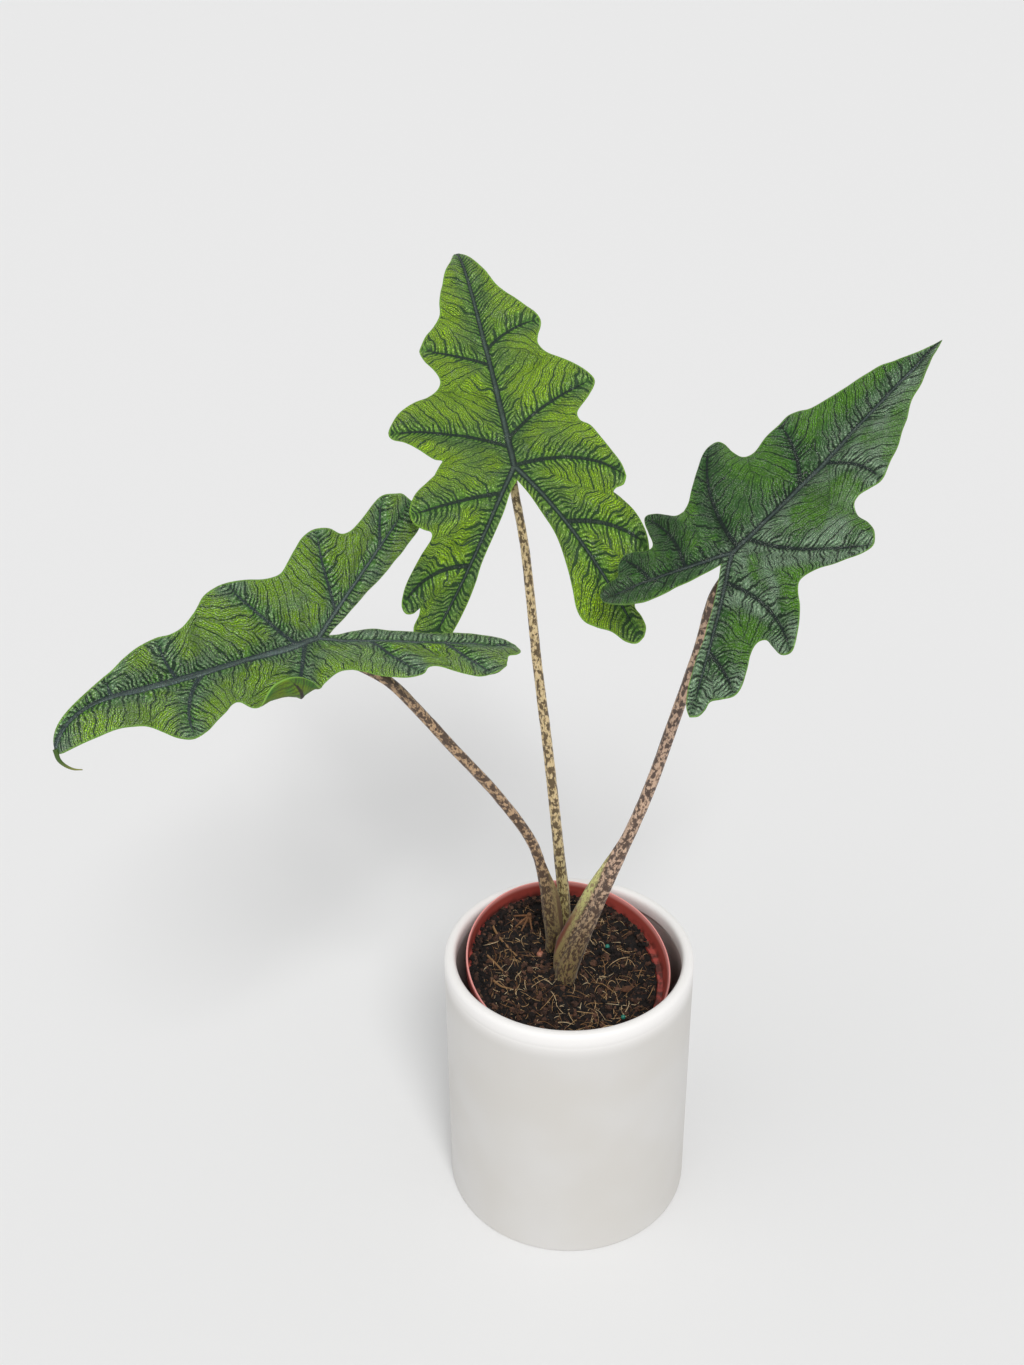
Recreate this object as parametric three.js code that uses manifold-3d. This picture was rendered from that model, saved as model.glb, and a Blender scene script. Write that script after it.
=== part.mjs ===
// Potted jacklyn alocasia: three lobed leaves on long stems, growing in a thin plastic nursery pot
// that leans inside a white glazed cover pot, held up there by a bed of clay pebbles.
//
// Millimetres, +Z up. The origin is the centre of the cover pot's flat bottom. +X is to the right and
// +Y is away from the viewer in the view that the plant was measured from.

import * as THREE from "three";
import { mergeVertices } from "three/addons/utils/BufferGeometryUtils.js";
import Module from "manifold-3d";

// Driving dimensions of the white cover pot.
const COVER_OUTER_RADIUS = 72.5;
const COVER_HEIGHT = 168.6;
const COVER_LIP_INNER_RADIUS = 65.7;
const COVER_WALL_INNER_RADIUS = 67.2;
const COVER_FLOOR = 6;
const COVER_LIP_DEPTH = 9;
const COVER_LIP_ROUND = 3.2;
const COVER_FOOT_ROUND = 2.5;
const COVER_SEGMENTS = 64;

// Driving dimensions of the nursery pot, measured in its own leaning frame from its rim plane.
const NURSERY_RIM_RADIUS = 60.3;
const NURSERY_HEIGHT = 98;
const NURSERY_BASE_RADIUS = 41;
const NURSERY_WALL = 1.1;
const NURSERY_COLLAR_HEIGHT = 11.2;
const NURSERY_LEDGE_WIDTH = 3.1;
const NURSERY_BASE_WALL = 1.8;
const NURSERY_DRAIN_RADIUS = 3.5;
const NURSERY_DRAIN_CIRCLE = 25;
const NURSERY_DRAIN_COUNT = 6;
const NURSERY_SEGMENTS = 48;

// How the nursery pot leans: its rim's centre, its back raised and its right side lowered.
const LEAN_CENTRE = new THREE.Vector3(-0.1, -1.2, 161.7);
const LEAN_BACK_UP = THREE.MathUtils.degToRad(14.7);
const LEAN_RIGHT_DOWN = THREE.MathUtils.degToRad(7.4);

// Soil: its level below the rim plane, its lumps, and how deep the stems stand in it.
const SOIL_LEVEL = -12.4;
const SOIL_LUMP = 0.9;
const SOIL_MOUND = 1.6;
const SOIL_RINGS = 9;
const SOIL_SEGMENTS = 36;
const STEM_DEPTH = 16;

// The gap that pieces which touch keep, so that their solids stay apart.
const GAP = 0.3;

// Blades: thickness, and the height of the midrib and of the side veins under them.
const BLADE_THICKNESS = 1.0;
const MIDRIB_HEIGHT = 1.8;
const VEIN_HEIGHT = 0.9;
const QUILT_HEIGHT = 0.7;
const BLADE_ROWS = [0, 0.09, 0.32, 0.62, 1];
const LONGEST_STEP = 9;
const TIP_CURL_LENGTH = 50;

const COLOURS = {
  glaze: "#e7e3de",
  clay: "#8a5a40",
  terracotta: "#a8583f",
  soil: "#2a201b",
  stemTan: "#b08f66",
  stemPink: "#a98470",
  blade: "#7f9a45",
  bladeDark: "#4f6b4c",
  cormel: "#c08c82",
  stub: "#7c6248",
  straw: "#b39a78",
  bark: "#8a6a4c",
  bead: "#3f8f86",
};

const wasm = await Module();
wasm.setup();

const degrees = THREE.MathUtils.degToRad;

function material(colour, roughness) {
  return new THREE.MeshStandardMaterial({ color: colour, roughness, metalness: 0 });
}

function named(name, geometry, colour, roughness) {
  const mesh = new THREE.Mesh(geometry, material(colour, roughness));
  mesh.name = name;
  return mesh;
}

// A geometry with only merged positions, as a solid that can be cut and joined.
function toSolid(geometry) {
  const bare = geometry.clone();
  bare.deleteAttribute("normal");
  bare.deleteAttribute("uv");
  const merged = mergeVertices(bare, 1e-4);
  return new wasm.Manifold(new wasm.Mesh({
    numProp: 3,
    vertProperties: new Float32Array(merged.attributes.position.array),
    triVerts: new Uint32Array(merged.index.array),
  }));
}

function toGeometry(solid) {
  const mesh = solid.getMesh();
  const geometry = new THREE.BufferGeometry();
  geometry.setAttribute("position", new THREE.BufferAttribute(new Float32Array(mesh.vertProperties), 3));
  geometry.setIndex(new THREE.BufferAttribute(new Uint32Array(mesh.triVerts), 1));
  return geometry;
}

function indexed(positions, triangles) {
  const geometry = new THREE.BufferGeometry();
  geometry.setAttribute("position", new THREE.Float32BufferAttribute(positions.flat(), 3));
  geometry.setIndex(triangles.flat());
  return geometry;
}

// A turned solid about +Z. The profile is a list of [radius, height], run anticlockwise from the axis.
function turned(profile, segments) {
  const points = profile.map(([radius, height]) => new THREE.Vector2(radius, height));
  return new THREE.LatheGeometry(points, segments).rotateX(Math.PI / 2);
}

// Points of a quarter circle from one angle to another, both in degrees, about a centre.
function arc(centreX, centreY, radius, from, to, steps) {
  return Array.from({ length: steps + 1 }, (unused, i) => {
    const angle = degrees(from + ((to - from) * i) / steps);
    return [centreX + radius * Math.cos(angle), centreY + radius * Math.sin(angle)];
  });
}

// The white cover pot: straight wall, soft foot, rounded lip with a shallow step under it inside.
function makeCoverPot() {
  const lipCentreOut = COVER_OUTER_RADIUS - COVER_LIP_ROUND;
  const lipCentreIn = COVER_LIP_INNER_RADIUS + COVER_LIP_ROUND;
  const lipTop = COVER_HEIGHT - COVER_LIP_ROUND;
  const groove = COVER_HEIGHT - COVER_LIP_DEPTH;
  const profile = [
    [0, 0],
    ...arc(COVER_OUTER_RADIUS - COVER_FOOT_ROUND, COVER_FOOT_ROUND, COVER_FOOT_ROUND, -90, 0, 3),
    [COVER_OUTER_RADIUS, groove - 1.2],
    [COVER_OUTER_RADIUS - 0.5, groove],
    [COVER_OUTER_RADIUS, groove + 1.2],
    ...arc(lipCentreOut, lipTop, COVER_LIP_ROUND, 0, 90, 3),
    ...arc(lipCentreIn, lipTop, COVER_LIP_ROUND, 90, 180, 3),
    [COVER_LIP_INNER_RADIUS, groove],
    [COVER_WALL_INNER_RADIUS, groove - 1.2],
    [COVER_WALL_INNER_RADIUS, COVER_FLOOR + 4],
    [COVER_WALL_INNER_RADIUS - 4, COVER_FLOOR],
    [0, COVER_FLOOR],
  ];
  return named("cover_pot", turned(profile, COVER_SEGMENTS), COLOURS.glaze, 0.35);
}

// Inner radius of the nursery pot's tapered wall at a height under its rim plane.
function nurseryInnerRadius(height) {
  const top = NURSERY_RIM_RADIUS - 1.4 - NURSERY_WALL - NURSERY_LEDGE_WIDTH;
  const bottom = NURSERY_BASE_RADIUS - NURSERY_WALL;
  const share = (height + NURSERY_COLLAR_HEIGHT) / (NURSERY_COLLAR_HEIGHT - NURSERY_HEIGHT);
  return THREE.MathUtils.lerp(top, bottom, THREE.MathUtils.clamp(share, 0, 1));
}

// The thin plastic nursery pot: a collar, a ledge under it, a tapered wall and a base with drain holes.
function makeNurseryPot() {
  const collarBottom = NURSERY_RIM_RADIUS - 1.4;
  const ledgeInner = nurseryInnerRadius(-NURSERY_COLLAR_HEIGHT);
  const base = -NURSERY_HEIGHT;
  const profile = [
    [0, base],
    [NURSERY_BASE_RADIUS - 1.5, base],
    [NURSERY_BASE_RADIUS, base + 1.5],
    [ledgeInner + NURSERY_WALL, -NURSERY_COLLAR_HEIGHT - NURSERY_WALL],
    [collarBottom, -NURSERY_COLLAR_HEIGHT - NURSERY_WALL],
    [NURSERY_RIM_RADIUS, -0.5],
    [NURSERY_RIM_RADIUS - 0.4, 0],
    [NURSERY_RIM_RADIUS - NURSERY_WALL + 0.2, 0],
    [NURSERY_RIM_RADIUS - NURSERY_WALL, -0.5],
    [collarBottom - NURSERY_WALL, -NURSERY_COLLAR_HEIGHT],
    [ledgeInner, -NURSERY_COLLAR_HEIGHT],
    [nurseryInnerRadius(base + NURSERY_BASE_WALL), base + NURSERY_BASE_WALL],
    [0, base + NURSERY_BASE_WALL],
  ];
  let pot = toSolid(turned(profile, NURSERY_SEGMENTS));
  for (let i = 0; i < NURSERY_DRAIN_COUNT; i += 1) {
    const angle = (2 * Math.PI * i) / NURSERY_DRAIN_COUNT;
    const drill = new THREE.CylinderGeometry(NURSERY_DRAIN_RADIUS, NURSERY_DRAIN_RADIUS, 8, 10);
    drill.rotateX(Math.PI / 2);
    drill.translate(NURSERY_DRAIN_CIRCLE * Math.cos(angle), NURSERY_DRAIN_CIRCLE * Math.sin(angle), base);
    pot = pot.subtract(toSolid(drill));
  }
  return named("nursery_pot", toGeometry(pot), COLOURS.terracotta, 0.5);
}

// Height of the soil under the rim plane, with a low mound round the stems and small lumps.
function soilHeight(x, y) {
  const mound = SOIL_MOUND * Math.exp(-(x * x + (y - 12) * (y - 12)) / 500);
  const lumps = Math.sin(x * 0.23 + 1.1) * Math.cos(y * 0.27 - 0.6) + 0.6 * Math.sin(x * 0.51 - y * 0.43);
  return SOIL_LEVEL + mound + (SOIL_LUMP * lumps) / 1.6;
}

// A round solid with a shaped top: rings of points under height(x, y), then a flat floor.
function heapedDisc(topRadius, rings, segments, height, floorRadius, floorHeight) {
  const positions = [[0, 0, height(0, 0)]];
  const triangles = [];
  for (let ring = 1; ring <= rings; ring += 1) {
    const radius = (topRadius * ring) / rings;
    for (let i = 0; i < segments; i += 1) {
      const angle = (2 * Math.PI * i) / segments;
      const x = radius * Math.cos(angle);
      const y = radius * Math.sin(angle);
      positions.push([x, y, height(x, y)]);
    }
  }
  for (let i = 0; i < segments; i += 1) {
    const angle = (2 * Math.PI * i) / segments;
    positions.push([floorRadius * Math.cos(angle), floorRadius * Math.sin(angle), floorHeight(angle)]);
  }
  const centre = positions.length;
  positions.push([0, 0, floorHeight(0)]);
  const at = (ring, i) => 1 + (ring - 1) * segments + (i % segments);
  for (let i = 0; i < segments; i += 1) {
    triangles.push([0, at(1, i), at(1, i + 1)]);
    for (let ring = 1; ring <= rings; ring += 1) {
      triangles.push([at(ring, i), at(ring + 1, i), at(ring + 1, i + 1)]);
      triangles.push([at(ring, i), at(ring + 1, i + 1), at(ring, i + 1)]);
    }
    triangles.push([centre, at(rings + 1, i + 1), at(rings + 1, i)]);
  }
  return indexed(positions, triangles);
}

// A stem swept along a smooth path. radius(t) gives its radius from t = 0 at the foot to t = 1, and
// wing(t) the length of the thin sheath wing that stands out of it towards wingAngle.
function sweptStem(path, steps, sides, radius, wing = () => 0, wingAngle = 0) {
  const positions = [];
  const triangles = [];
  const tangent = new THREE.Vector3();
  for (let step = 0; step <= steps; step += 1) {
    const t = step / steps;
    const centre = path.getPointAt(t);
    path.getTangentAt(t, tangent);
    const across = new THREE.Vector3(1, 0, 0).addScaledVector(tangent, -tangent.x).normalize();
    const back = new THREE.Vector3().crossVectors(tangent, across);
    for (let i = 0; i < sides; i += 1) {
      const angle = (2 * Math.PI * i) / sides;
      const off = Math.atan2(Math.sin(angle - wingAngle), Math.cos(angle - wingAngle));
      const reach = radius(t) + wing(t) * Math.exp(-((off / 0.3) ** 2));
      const point = centre.clone().addScaledVector(across, reach * Math.cos(angle));
      point.addScaledVector(back, reach * Math.sin(angle));
      positions.push(point.toArray());
    }
  }
  const at = (step, i) => step * sides + (i % sides);
  for (let step = 0; step < steps; step += 1) {
    for (let i = 0; i < sides; i += 1) {
      triangles.push([at(step, i), at(step, i + 1), at(step + 1, i + 1)]);
      triangles.push([at(step, i), at(step + 1, i + 1), at(step + 1, i)]);
    }
  }
  const foot = positions.length;
  positions.push(path.getPointAt(0).toArray());
  positions.push(path.getPointAt(1).toArray());
  for (let i = 0; i < sides; i += 1) {
    triangles.push([foot, at(0, i + 1), at(0, i)]);
    triangles.push([foot + 1, at(steps, i), at(steps, i + 1)]);
  }
  return indexed(positions, triangles);
}

// A blade is laid out flat first, then bent into place. Flat coordinates are millimetres from the
// junction, where the stem meets the blade, before the leaf's own size is applied: u runs across, v
// along the midrib towards the tip.
//
// Each half of a blade is a row of stations along its edge. A station is [root, u, v, kind, lift]. root
// is where its ray leaves the midrib (front) or the main vein of the rear lobe (outer and inner),
// measured from the junction. kind is "vein" at the tip of a lobe, where a side vein runs along the
// ray, or "edge" anywhere else. lift raises the edge there, in millimetres, and is 0 if left out.
const LEAVES = [
  {
    name: "centre",
    colour: COLOURS.blade,
    junction: [-28.8, 56.2, 447.4],
    size: 1.07,
    azimuth: 102,
    elevation: 33,
    roll: 1,
    length: 168,
    bend: 10,
    tipCurl: 47,
    sway: 0,
    left: {
      foldFront: -4,
      foldRear: 7,
      curl: 10.5,
      droop: 62,
      veinAngle: 31,
      veinLength: 96,
      front: [
        [150, 6, 147, "edge"],
        [135, 12, 132, "edge"],
        [118, 17, 116, "edge"],
        [104, 20, 103, "edge"],
        [84, 30, 92, "edge"],
        [65, 34, 80, "vein"],
        [50, 27, 60, "edge", 2],
        [30, 41, 50, "edge"],
        [12, 58, 34, "vein"],
        [7, 46, 20, "edge"],
        [3, 34, 9, "edge", 2],
        [0, 44, -5, "edge"],
      ],
      outer: [
        [17, 56, -21, "vein"],
        [30, 46, -32, "edge", 2],
        [42, 56, -47, "edge"],
        [57, 64, -66, "vein"],
        [74, 56, -70, "edge"],
        [88, 60, -80, "edge"],
        [96, 50, -88, "vein"],
      ],
      inner: [
        [84, 40, -79, "edge"],
        [68, 32, -67, "edge"],
        [50, 24, -49, "edge"],
        [32, 15, -32, "edge"],
        [14, 7, -17, "edge"],
      ],
    },
    right: {
      foldFront: 15,
      foldRear: 21,
      curl: -2,
      droop: 58,
      veinAngle: 31,
      veinLength: 97,
      front: [
        [150, 4, 149, "edge"],
        [135, 9, 134, "edge"],
        [118, 15, 116, "edge"],
        [100, 25, 99, "edge"],
        [76, 31, 86, "vein"],
        [60, 26, 70, "edge", 2],
        [40, 40, 53, "edge"],
        [17, 49, 39, "vein"],
        [8, 36, 21, "edge", 2],
        [4, 44, 6, "edge"],
        [0, 52, -18, "vein"],
      ],
      outer: [
        [16, 45, -24, "edge", 2],
        [26, 53, -33, "edge"],
        [39, 59, -48, "vein"],
        [56, 55, -61, "edge"],
        [72, 50, -73, "edge", 1],
        [97, 53, -87, "vein"],
      ],
      inner: [
        [82, 38, -84, "edge"],
        [70, 30, -82, "edge"],
        [58, 22, -76, "edge"],
        [44, 20, -60, "edge"],
        [28, 15, -39, "edge"],
        [12, 7, -22, "edge"],
      ],
    },
  },
  {
    name: "right",
    colour: COLOURS.bladeDark,
    junction: [74.3, -39.2, 440.3],
    size: 0.966,
    azimuth: 25,
    elevation: 37,
    roll: 23,
    length: 158,
    bend: 11,
    tipCurl: 15,
    sway: -10,
    left: {
      foldFront: 3,
      foldRear: -7,
      curl: 19,
      droop: 46,
      veinAngle: 37,
      veinLength: 84,
      front: [
        [146, 3, 145, "edge"],
        [134, 9, 133, "edge"],
        [122, 15, 121, "edge"],
        [108, 19, 108, "edge"],
        [94, 23, 91, "edge"],
        [72, 31, 80, "edge"],
        [47, 34, 68, "vein"],
        [36, 32, 48, "edge", 2],
        [20, 44, 42, "edge"],
        [4, 58, 38, "vein"],
        [2, 49, 17, "edge"],
        [0, 41, 1, "edge", 2],
      ],
      outer: [
        [12, 53, -6, "edge"],
        [26, 65, -15, "vein"],
        [34, 43, -24, "edge", 2],
        [42, 53, -34, "edge"],
        [48, 58, -44, "vein"],
        [58, 50, -51, "edge", 1],
        [72, 57, -64, "edge"],
        [84, 54, -70, "vein"],
      ],
      inner: [
        [74, 42, -64, "edge"],
        [58, 28, -54, "edge"],
        [44, 17, -44, "edge"],
        [28, 10, -30, "edge"],
        [12, 4, -16, "edge"],
      ],
    },
    right: {
      foldFront: 21,
      foldRear: 6,
      curl: -5,
      droop: -5,
      veinAngle: 35,
      veinLength: 84,
      front: [
        [146, 5, 145, "edge"],
        [132, 10, 131, "edge"],
        [118, 15, 115, "edge"],
        [104, 22, 101, "edge"],
        [84, 32, 84, "edge"],
        [65, 38, 67, "vein"],
        [46, 35, 55, "edge", 2],
        [28, 52, 46, "edge"],
        [10, 65, 37, "vein"],
        [5, 57, 23, "edge"],
        [2, 45, 9, "edge", 2],
        [0, 56, -2, "edge"],
      ],
      outer: [
        [16, 65, -19, "vein"],
        [30, 47, -24, "edge", 2],
        [42, 53, -37, "edge"],
        [54, 59, -50, "vein"],
        [68, 53, -63, "edge", 1],
        [84, 52, -73, "vein"],
      ],
      inner: [
        [72, 41, -66, "edge"],
        [56, 32, -55, "edge"],
        [38, 22, -39, "edge"],
        [20, 12, -23, "edge"],
      ],
    },
  },
  {
    name: "left",
    colour: COLOURS.blade,
    junction: [-125.9, -43.3, 398.9],
    size: 0.988,
    azimuth: 230,
    elevation: 9,
    roll: -14,
    length: 165,
    bend: -4,
    tipCurl: 122,
    sway: 1,
    left: {
      foldFront: -9,
      foldRear: 10,
      curl: 9,
      droop: -1,
      veinAngle: 31,
      veinLength: 96,
      front: [
        [150, 10, 154, "edge"],
        [138, 16, 138, "edge"],
        [126, 20, 122, "edge"],
        [110, 30, 110, "edge"],
        [72, 32, 100, "vein"],
        [56, 26, 80, "edge", 2],
        [34, 36, 71, "edge", 12],
        [8, 44, 58, "vein", 24],
        [5, 38, 40, "edge", 20],
        [3, 28, 22, "edge", 8],
        [0, 36, 4, "edge", 9],
      ],
      outer: [
        [27, 51, -15, "vein", 6],
        [36, 48, -28, "edge", 3],
        [50, 59, -42, "edge"],
        [67, 69, -59, "vein"],
        [80, 62, -76, "edge", 1],
        [96, 54, -86, "vein"],
      ],
      inner: [
        [84, 42, -80, "edge"],
        [68, 32, -67, "edge"],
        [50, 22, -51, "edge"],
        [34, 12, -37, "edge"],
        [16, 4, -23, "edge"],
      ],
    },
    right: {
      foldFront: 47,
      foldRear: 52,
      curl: 0,
      droop: -4,
      veinAngle: 31,
      veinLength: 94,
      front: [
        [150, 3, 148, "edge"],
        [138, 5, 134, "edge"],
        [123, 11, 120, "vein"],
        [106, 18, 104, "edge"],
        [86, 20, 92, "vein"],
        [70, 22, 76, "edge", 1],
        [44, 33, 62, "edge"],
        [12, 37, 46, "vein"],
        [6, 36, 28, "edge"],
        [3, 35, 14, "edge", 2],
        [0, 42, 2, "edge"],
      ],
      outer: [
        [20, 52, -19, "vein"],
        [34, 46, -36, "edge", 2],
        [50, 52, -51, "edge"],
        [68, 59, -69, "vein"],
        [82, 57, -82, "edge"],
        [94, 50, -88, "vein"],
      ],
      inner: [
        [82, 38, -87, "edge"],
        [70, 31, -76, "edge"],
        [52, 21, -56, "edge"],
        [34, 13, -36, "edge"],
        [16, 6, -19, "edge"],
      ],
    },
  },
];

// The notch between the rear lobes, and how far the last ray's root stays from the tip.
const SINUS_V = -8;
const TIP_ROOT = 3;
const RAY_BOW = 0.14;
const RIB_CLEAR = 6;
const WALK_STEPS = 20;

// Unit vectors at the junction: along the midrib, out of the upper face, and to the leaf's right.
function leafAxes(leaf) {
  const azimuth = degrees(leaf.azimuth);
  const elevation = degrees(leaf.elevation);
  const tip = new THREE.Vector3(
    Math.cos(elevation) * Math.cos(azimuth),
    Math.cos(elevation) * Math.sin(azimuth),
    Math.sin(elevation),
  );
  const level = new THREE.Vector3(0, 0, 1).addScaledVector(tip, -tip.z).normalize();
  const side = new THREE.Vector3().crossVectors(tip, level);
  const up = level.multiplyScalar(Math.cos(degrees(leaf.roll)));
  up.addScaledVector(side, Math.sin(degrees(leaf.roll)));
  const right = new THREE.Vector3().crossVectors(tip, up);
  return { tip, up, right };
}

// The point of the bent blade at flat (u, v), raised by lift out of its upper face. The midrib bends
// evenly and its tip curls down; the rear lobes droop; each half folds up about the midrib and then
// curls down again on its way out.
function leafPoint(leaf, axes, u, v, lift) {
  const half = u < 0 ? leaf.left : leaf.right;
  const own = THREE.MathUtils.smoothstep(Math.abs(u), 0, 8);
  const meanDroop = (leaf.left.droop + leaf.right.droop) / 2;
  const droop = degrees(THREE.MathUtils.lerp(meanDroop, half.droop, own));
  const bendAt = (s) => {
    const past = Math.max(s - (leaf.length - TIP_CURL_LENGTH), 0) / TIP_CURL_LENGTH;
    return (degrees(leaf.bend) * s) / leaf.length + degrees(leaf.tipCurl) * past * past;
  };
  const swayAt = (s) => (degrees(leaf.sway) * s) / leaf.length;
  const junction = new THREE.Vector3(...leaf.junction);
  const point = junction.clone();
  const normal = new THREE.Vector3();
  const right = axes.right.clone();
  const step = Math.abs(v) / WALK_STEPS;
  for (let i = 0; i < WALK_STEPS; i += 1) {
    const s = (i + 0.5) * step;
    if (v >= 0) {
      point.addScaledVector(axes.tip, step * Math.cos(bendAt(s)) * Math.cos(swayAt(s)));
      point.addScaledVector(axes.right, step * Math.cos(bendAt(s)) * Math.sin(swayAt(s)));
      point.addScaledVector(axes.up, -step * Math.sin(bendAt(s)));
    } else {
      point.addScaledVector(axes.tip, -step * Math.cos((droop * s) / 100));
      point.addScaledVector(axes.up, -step * Math.sin((droop * s) / 100));
    }
  }
  const turn = v >= 0 ? bendAt(v) : (droop * v) / 100;
  normal.addScaledVector(axes.tip, Math.sin(turn)).addScaledVector(axes.up, Math.cos(turn));
  if (v > 0) {
    right.multiplyScalar(Math.cos(swayAt(v))).addScaledVector(axes.tip, -Math.sin(swayAt(v)));
  }
  const front = THREE.MathUtils.smoothstep(v, -30, 30);
  const fold = degrees(THREE.MathUtils.lerp(half.foldRear, half.foldFront, front));
  const outward = Math.sign(u);
  const stride = Math.abs(u) / WALK_STEPS;
  let slope = fold;
  for (let i = 0; i < WALK_STEPS; i += 1) {
    slope = fold - (degrees(half.curl) * (i + 0.5) * stride) / 50;
    point.addScaledVector(right, outward * stride * Math.cos(slope));
    point.addScaledVector(normal, stride * Math.sin(slope));
  }
  point.addScaledVector(normal, lift * Math.cos(slope));
  point.addScaledVector(right, -outward * lift * Math.sin(slope));
  return point.sub(junction).multiplyScalar(leaf.size).add(junction);
}

// The stations of one half in three runs that share their end stations: front, outer and inner.
function stationRuns(leaf, half) {
  const tip = [leaf.length - TIP_ROOT, 0, leaf.length, "edge"];
  const front = [tip, ...half.front];
  const outer = [front.at(-1), ...half.outer];
  const inner = [outer.at(-1), ...half.inner, [0, 0, SINUS_V, "edge"]];
  return { front, outer, inner };
}

// Where a root value falls in a run of stations, as a fractional index.
function indexOf(run, root) {
  for (let i = 0; i + 1 < run.length; i += 1) {
    const [from, to] = [run[i][0], run[i + 1][0]];
    if ((root - from) * (root - to) <= 0) {
      return i + (root - from) / (to - from);
    }
  }
  return run.length - 1;
}

// Root values for runs that meet along one vein: every station's own, and evenly spaced ones between
// them wherever the edge of either run would otherwise take a step that is too long.
function sharedRoots(runs) {
  const own = [...new Set(runs.flatMap((run) => run.map((station) => station[0])))];
  own.sort((a, b) => a - b);
  const roots = [own[0]];
  for (let i = 0; i + 1 < own.length; i += 1) {
    const spans = runs.map((run) => {
      const [a, b] = [edgePoint(run, indexOf(run, own[i])), edgePoint(run, indexOf(run, own[i + 1]))];
      return Math.hypot(a[0] - b[0], a[1] - b[1]);
    });
    const parts = Math.ceil(Math.max(...spans) / LONGEST_STEP);
    for (let part = 1; part <= parts; part += 1) {
      roots.push(own[i] + ((own[i + 1] - own[i]) * part) / parts);
    }
  }
  return roots;
}

// The flat edge between stations, rounded by a smooth curve through them: [u, v, lift].
function edgePoint(run, index) {
  const low = Math.min(Math.floor(index), run.length - 2);
  const share = index - low;
  const around = [-1, 0, 1, 2].map((k) => run[THREE.MathUtils.clamp(low + k, 0, run.length - 1)]);
  const blend = (pick) => {
    const [before, from, to, after] = around.map(pick);
    const leave = (to - before) / 2;
    const arrive = (after - from) / 2;
    const s2 = share * share;
    const s3 = s2 * share;
    return (2 * s3 - 3 * s2 + 1) * from + (s3 - 2 * s2 + share) * leave
      + (3 * s2 - 2 * s3) * to + (s3 - s2) * arrive;
  };
  return [blend((s) => s[1]), blend((s) => s[2]), blend((s) => s[4] ?? 0)];
}

// One blade as a closed solid: a grid of rays from the veins out to the edge, made thick on both sides,
// with the midrib and side veins standing out underneath.
function makeBlade(leaf) {
  const axes = leafAxes(leaf);
  const places = new Map();
  const positions = [];
  const ribs = [];
  const triangles = [];

  const vertex = (u, v, lift, rib) => {
    const key = `${u.toFixed(3)} ${v.toFixed(3)}`;
    if (!places.has(key)) {
      places.set(key, positions.length);
      positions.push(leafPoint(leaf, axes, u, v, lift).toArray());
      ribs.push(rib);
    }
    return places.get(key);
  };

  // The vertices of one ray, from its root on the vein to the edge.
  const ray = (half, side, run, section, root) => {
    const index = indexOf(run, root);
    const [edgeU, edgeV, lift] = edgePoint(run, index);
    const angle = degrees(half.veinAngle);
    const [rootU, rootV] = section === "front"
      ? [0, root]
      : [root * Math.sin(angle), -root * Math.cos(angle)];
    const nearest = Math.round(index);
    const offVein = run[nearest][3] === "vein" ? Math.min(2 * Math.abs(index - nearest), 1) : 1;
    const mainVein = section === "front" ? 1 - root / leaf.length : 0.9 * (1 - root / half.veinLength);
    const fade = {
      front: Math.min((leaf.length - TIP_ROOT - root) / 30, 1),
      outer: 1 - root / half.veinLength,
      inner: 0,
    }[section];
    const [du, dv] = [edgeU - rootU, edgeV - rootV];
    return BLADE_ROWS.map((t) => {
      const bow = 4 * t * (1 - t) * RAY_BOW * fade;
      const u = rootU + du * t - dv * bow;
      const v = rootV + dv * t + du * bow;
      const quilt = QUILT_HEIGHT * Math.sin(Math.PI * t) * (2 * offVein - 1);
      const away = THREE.MathUtils.smoothstep(Math.hypot(u, v), RIB_CLEAR, 3 * RIB_CLEAR);
      const main = t === 0 ? MIDRIB_HEIGHT * (0.25 + 0.75 * mainVein) : 0;
      const lateral = VEIN_HEIGHT * (1 - offVein) * (1 - t);
      return vertex(side * u, v, lift * t ** 3 + quilt * away, Math.max(main, lateral) * away);
    });
  };

  const strip = (rays, flip) => {
    for (let i = 0; i + 1 < rays.length; i += 1) {
      for (let row = 0; row + 1 < BLADE_ROWS.length; row += 1) {
        const [a, b] = [rays[i][row], rays[i][row + 1]];
        const [c, d] = [rays[i + 1][row + 1], rays[i + 1][row]];
        for (const [p, q, r] of [[a, b, c], [a, c, d]]) {
          if (p !== q && q !== r && r !== p) {
            triangles.push(flip ? [p, r, q] : [p, q, r]);
          }
        }
      }
    }
  };

  const halves = [[leaf.left, -1], [leaf.right, 1]];
  const frontRoots = sharedRoots(halves.map(([half]) => stationRuns(leaf, half).front));
  for (const [half, side] of halves) {
    const runs = stationRuns(leaf, half);
    const lobeRoots = sharedRoots([runs.outer, runs.inner]);
    const make = (run, section) => (root) => ray(half, side, run, section, root);
    strip([...frontRoots].reverse().map(make(runs.front, "front")), side > 0);
    strip(lobeRoots.map(make(runs.outer, "outer")), side > 0);
    strip([...lobeRoots].reverse().map(make(runs.inner, "inner")), side > 0);
  }
  return thickened(positions, triangles, ribs);
}

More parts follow.
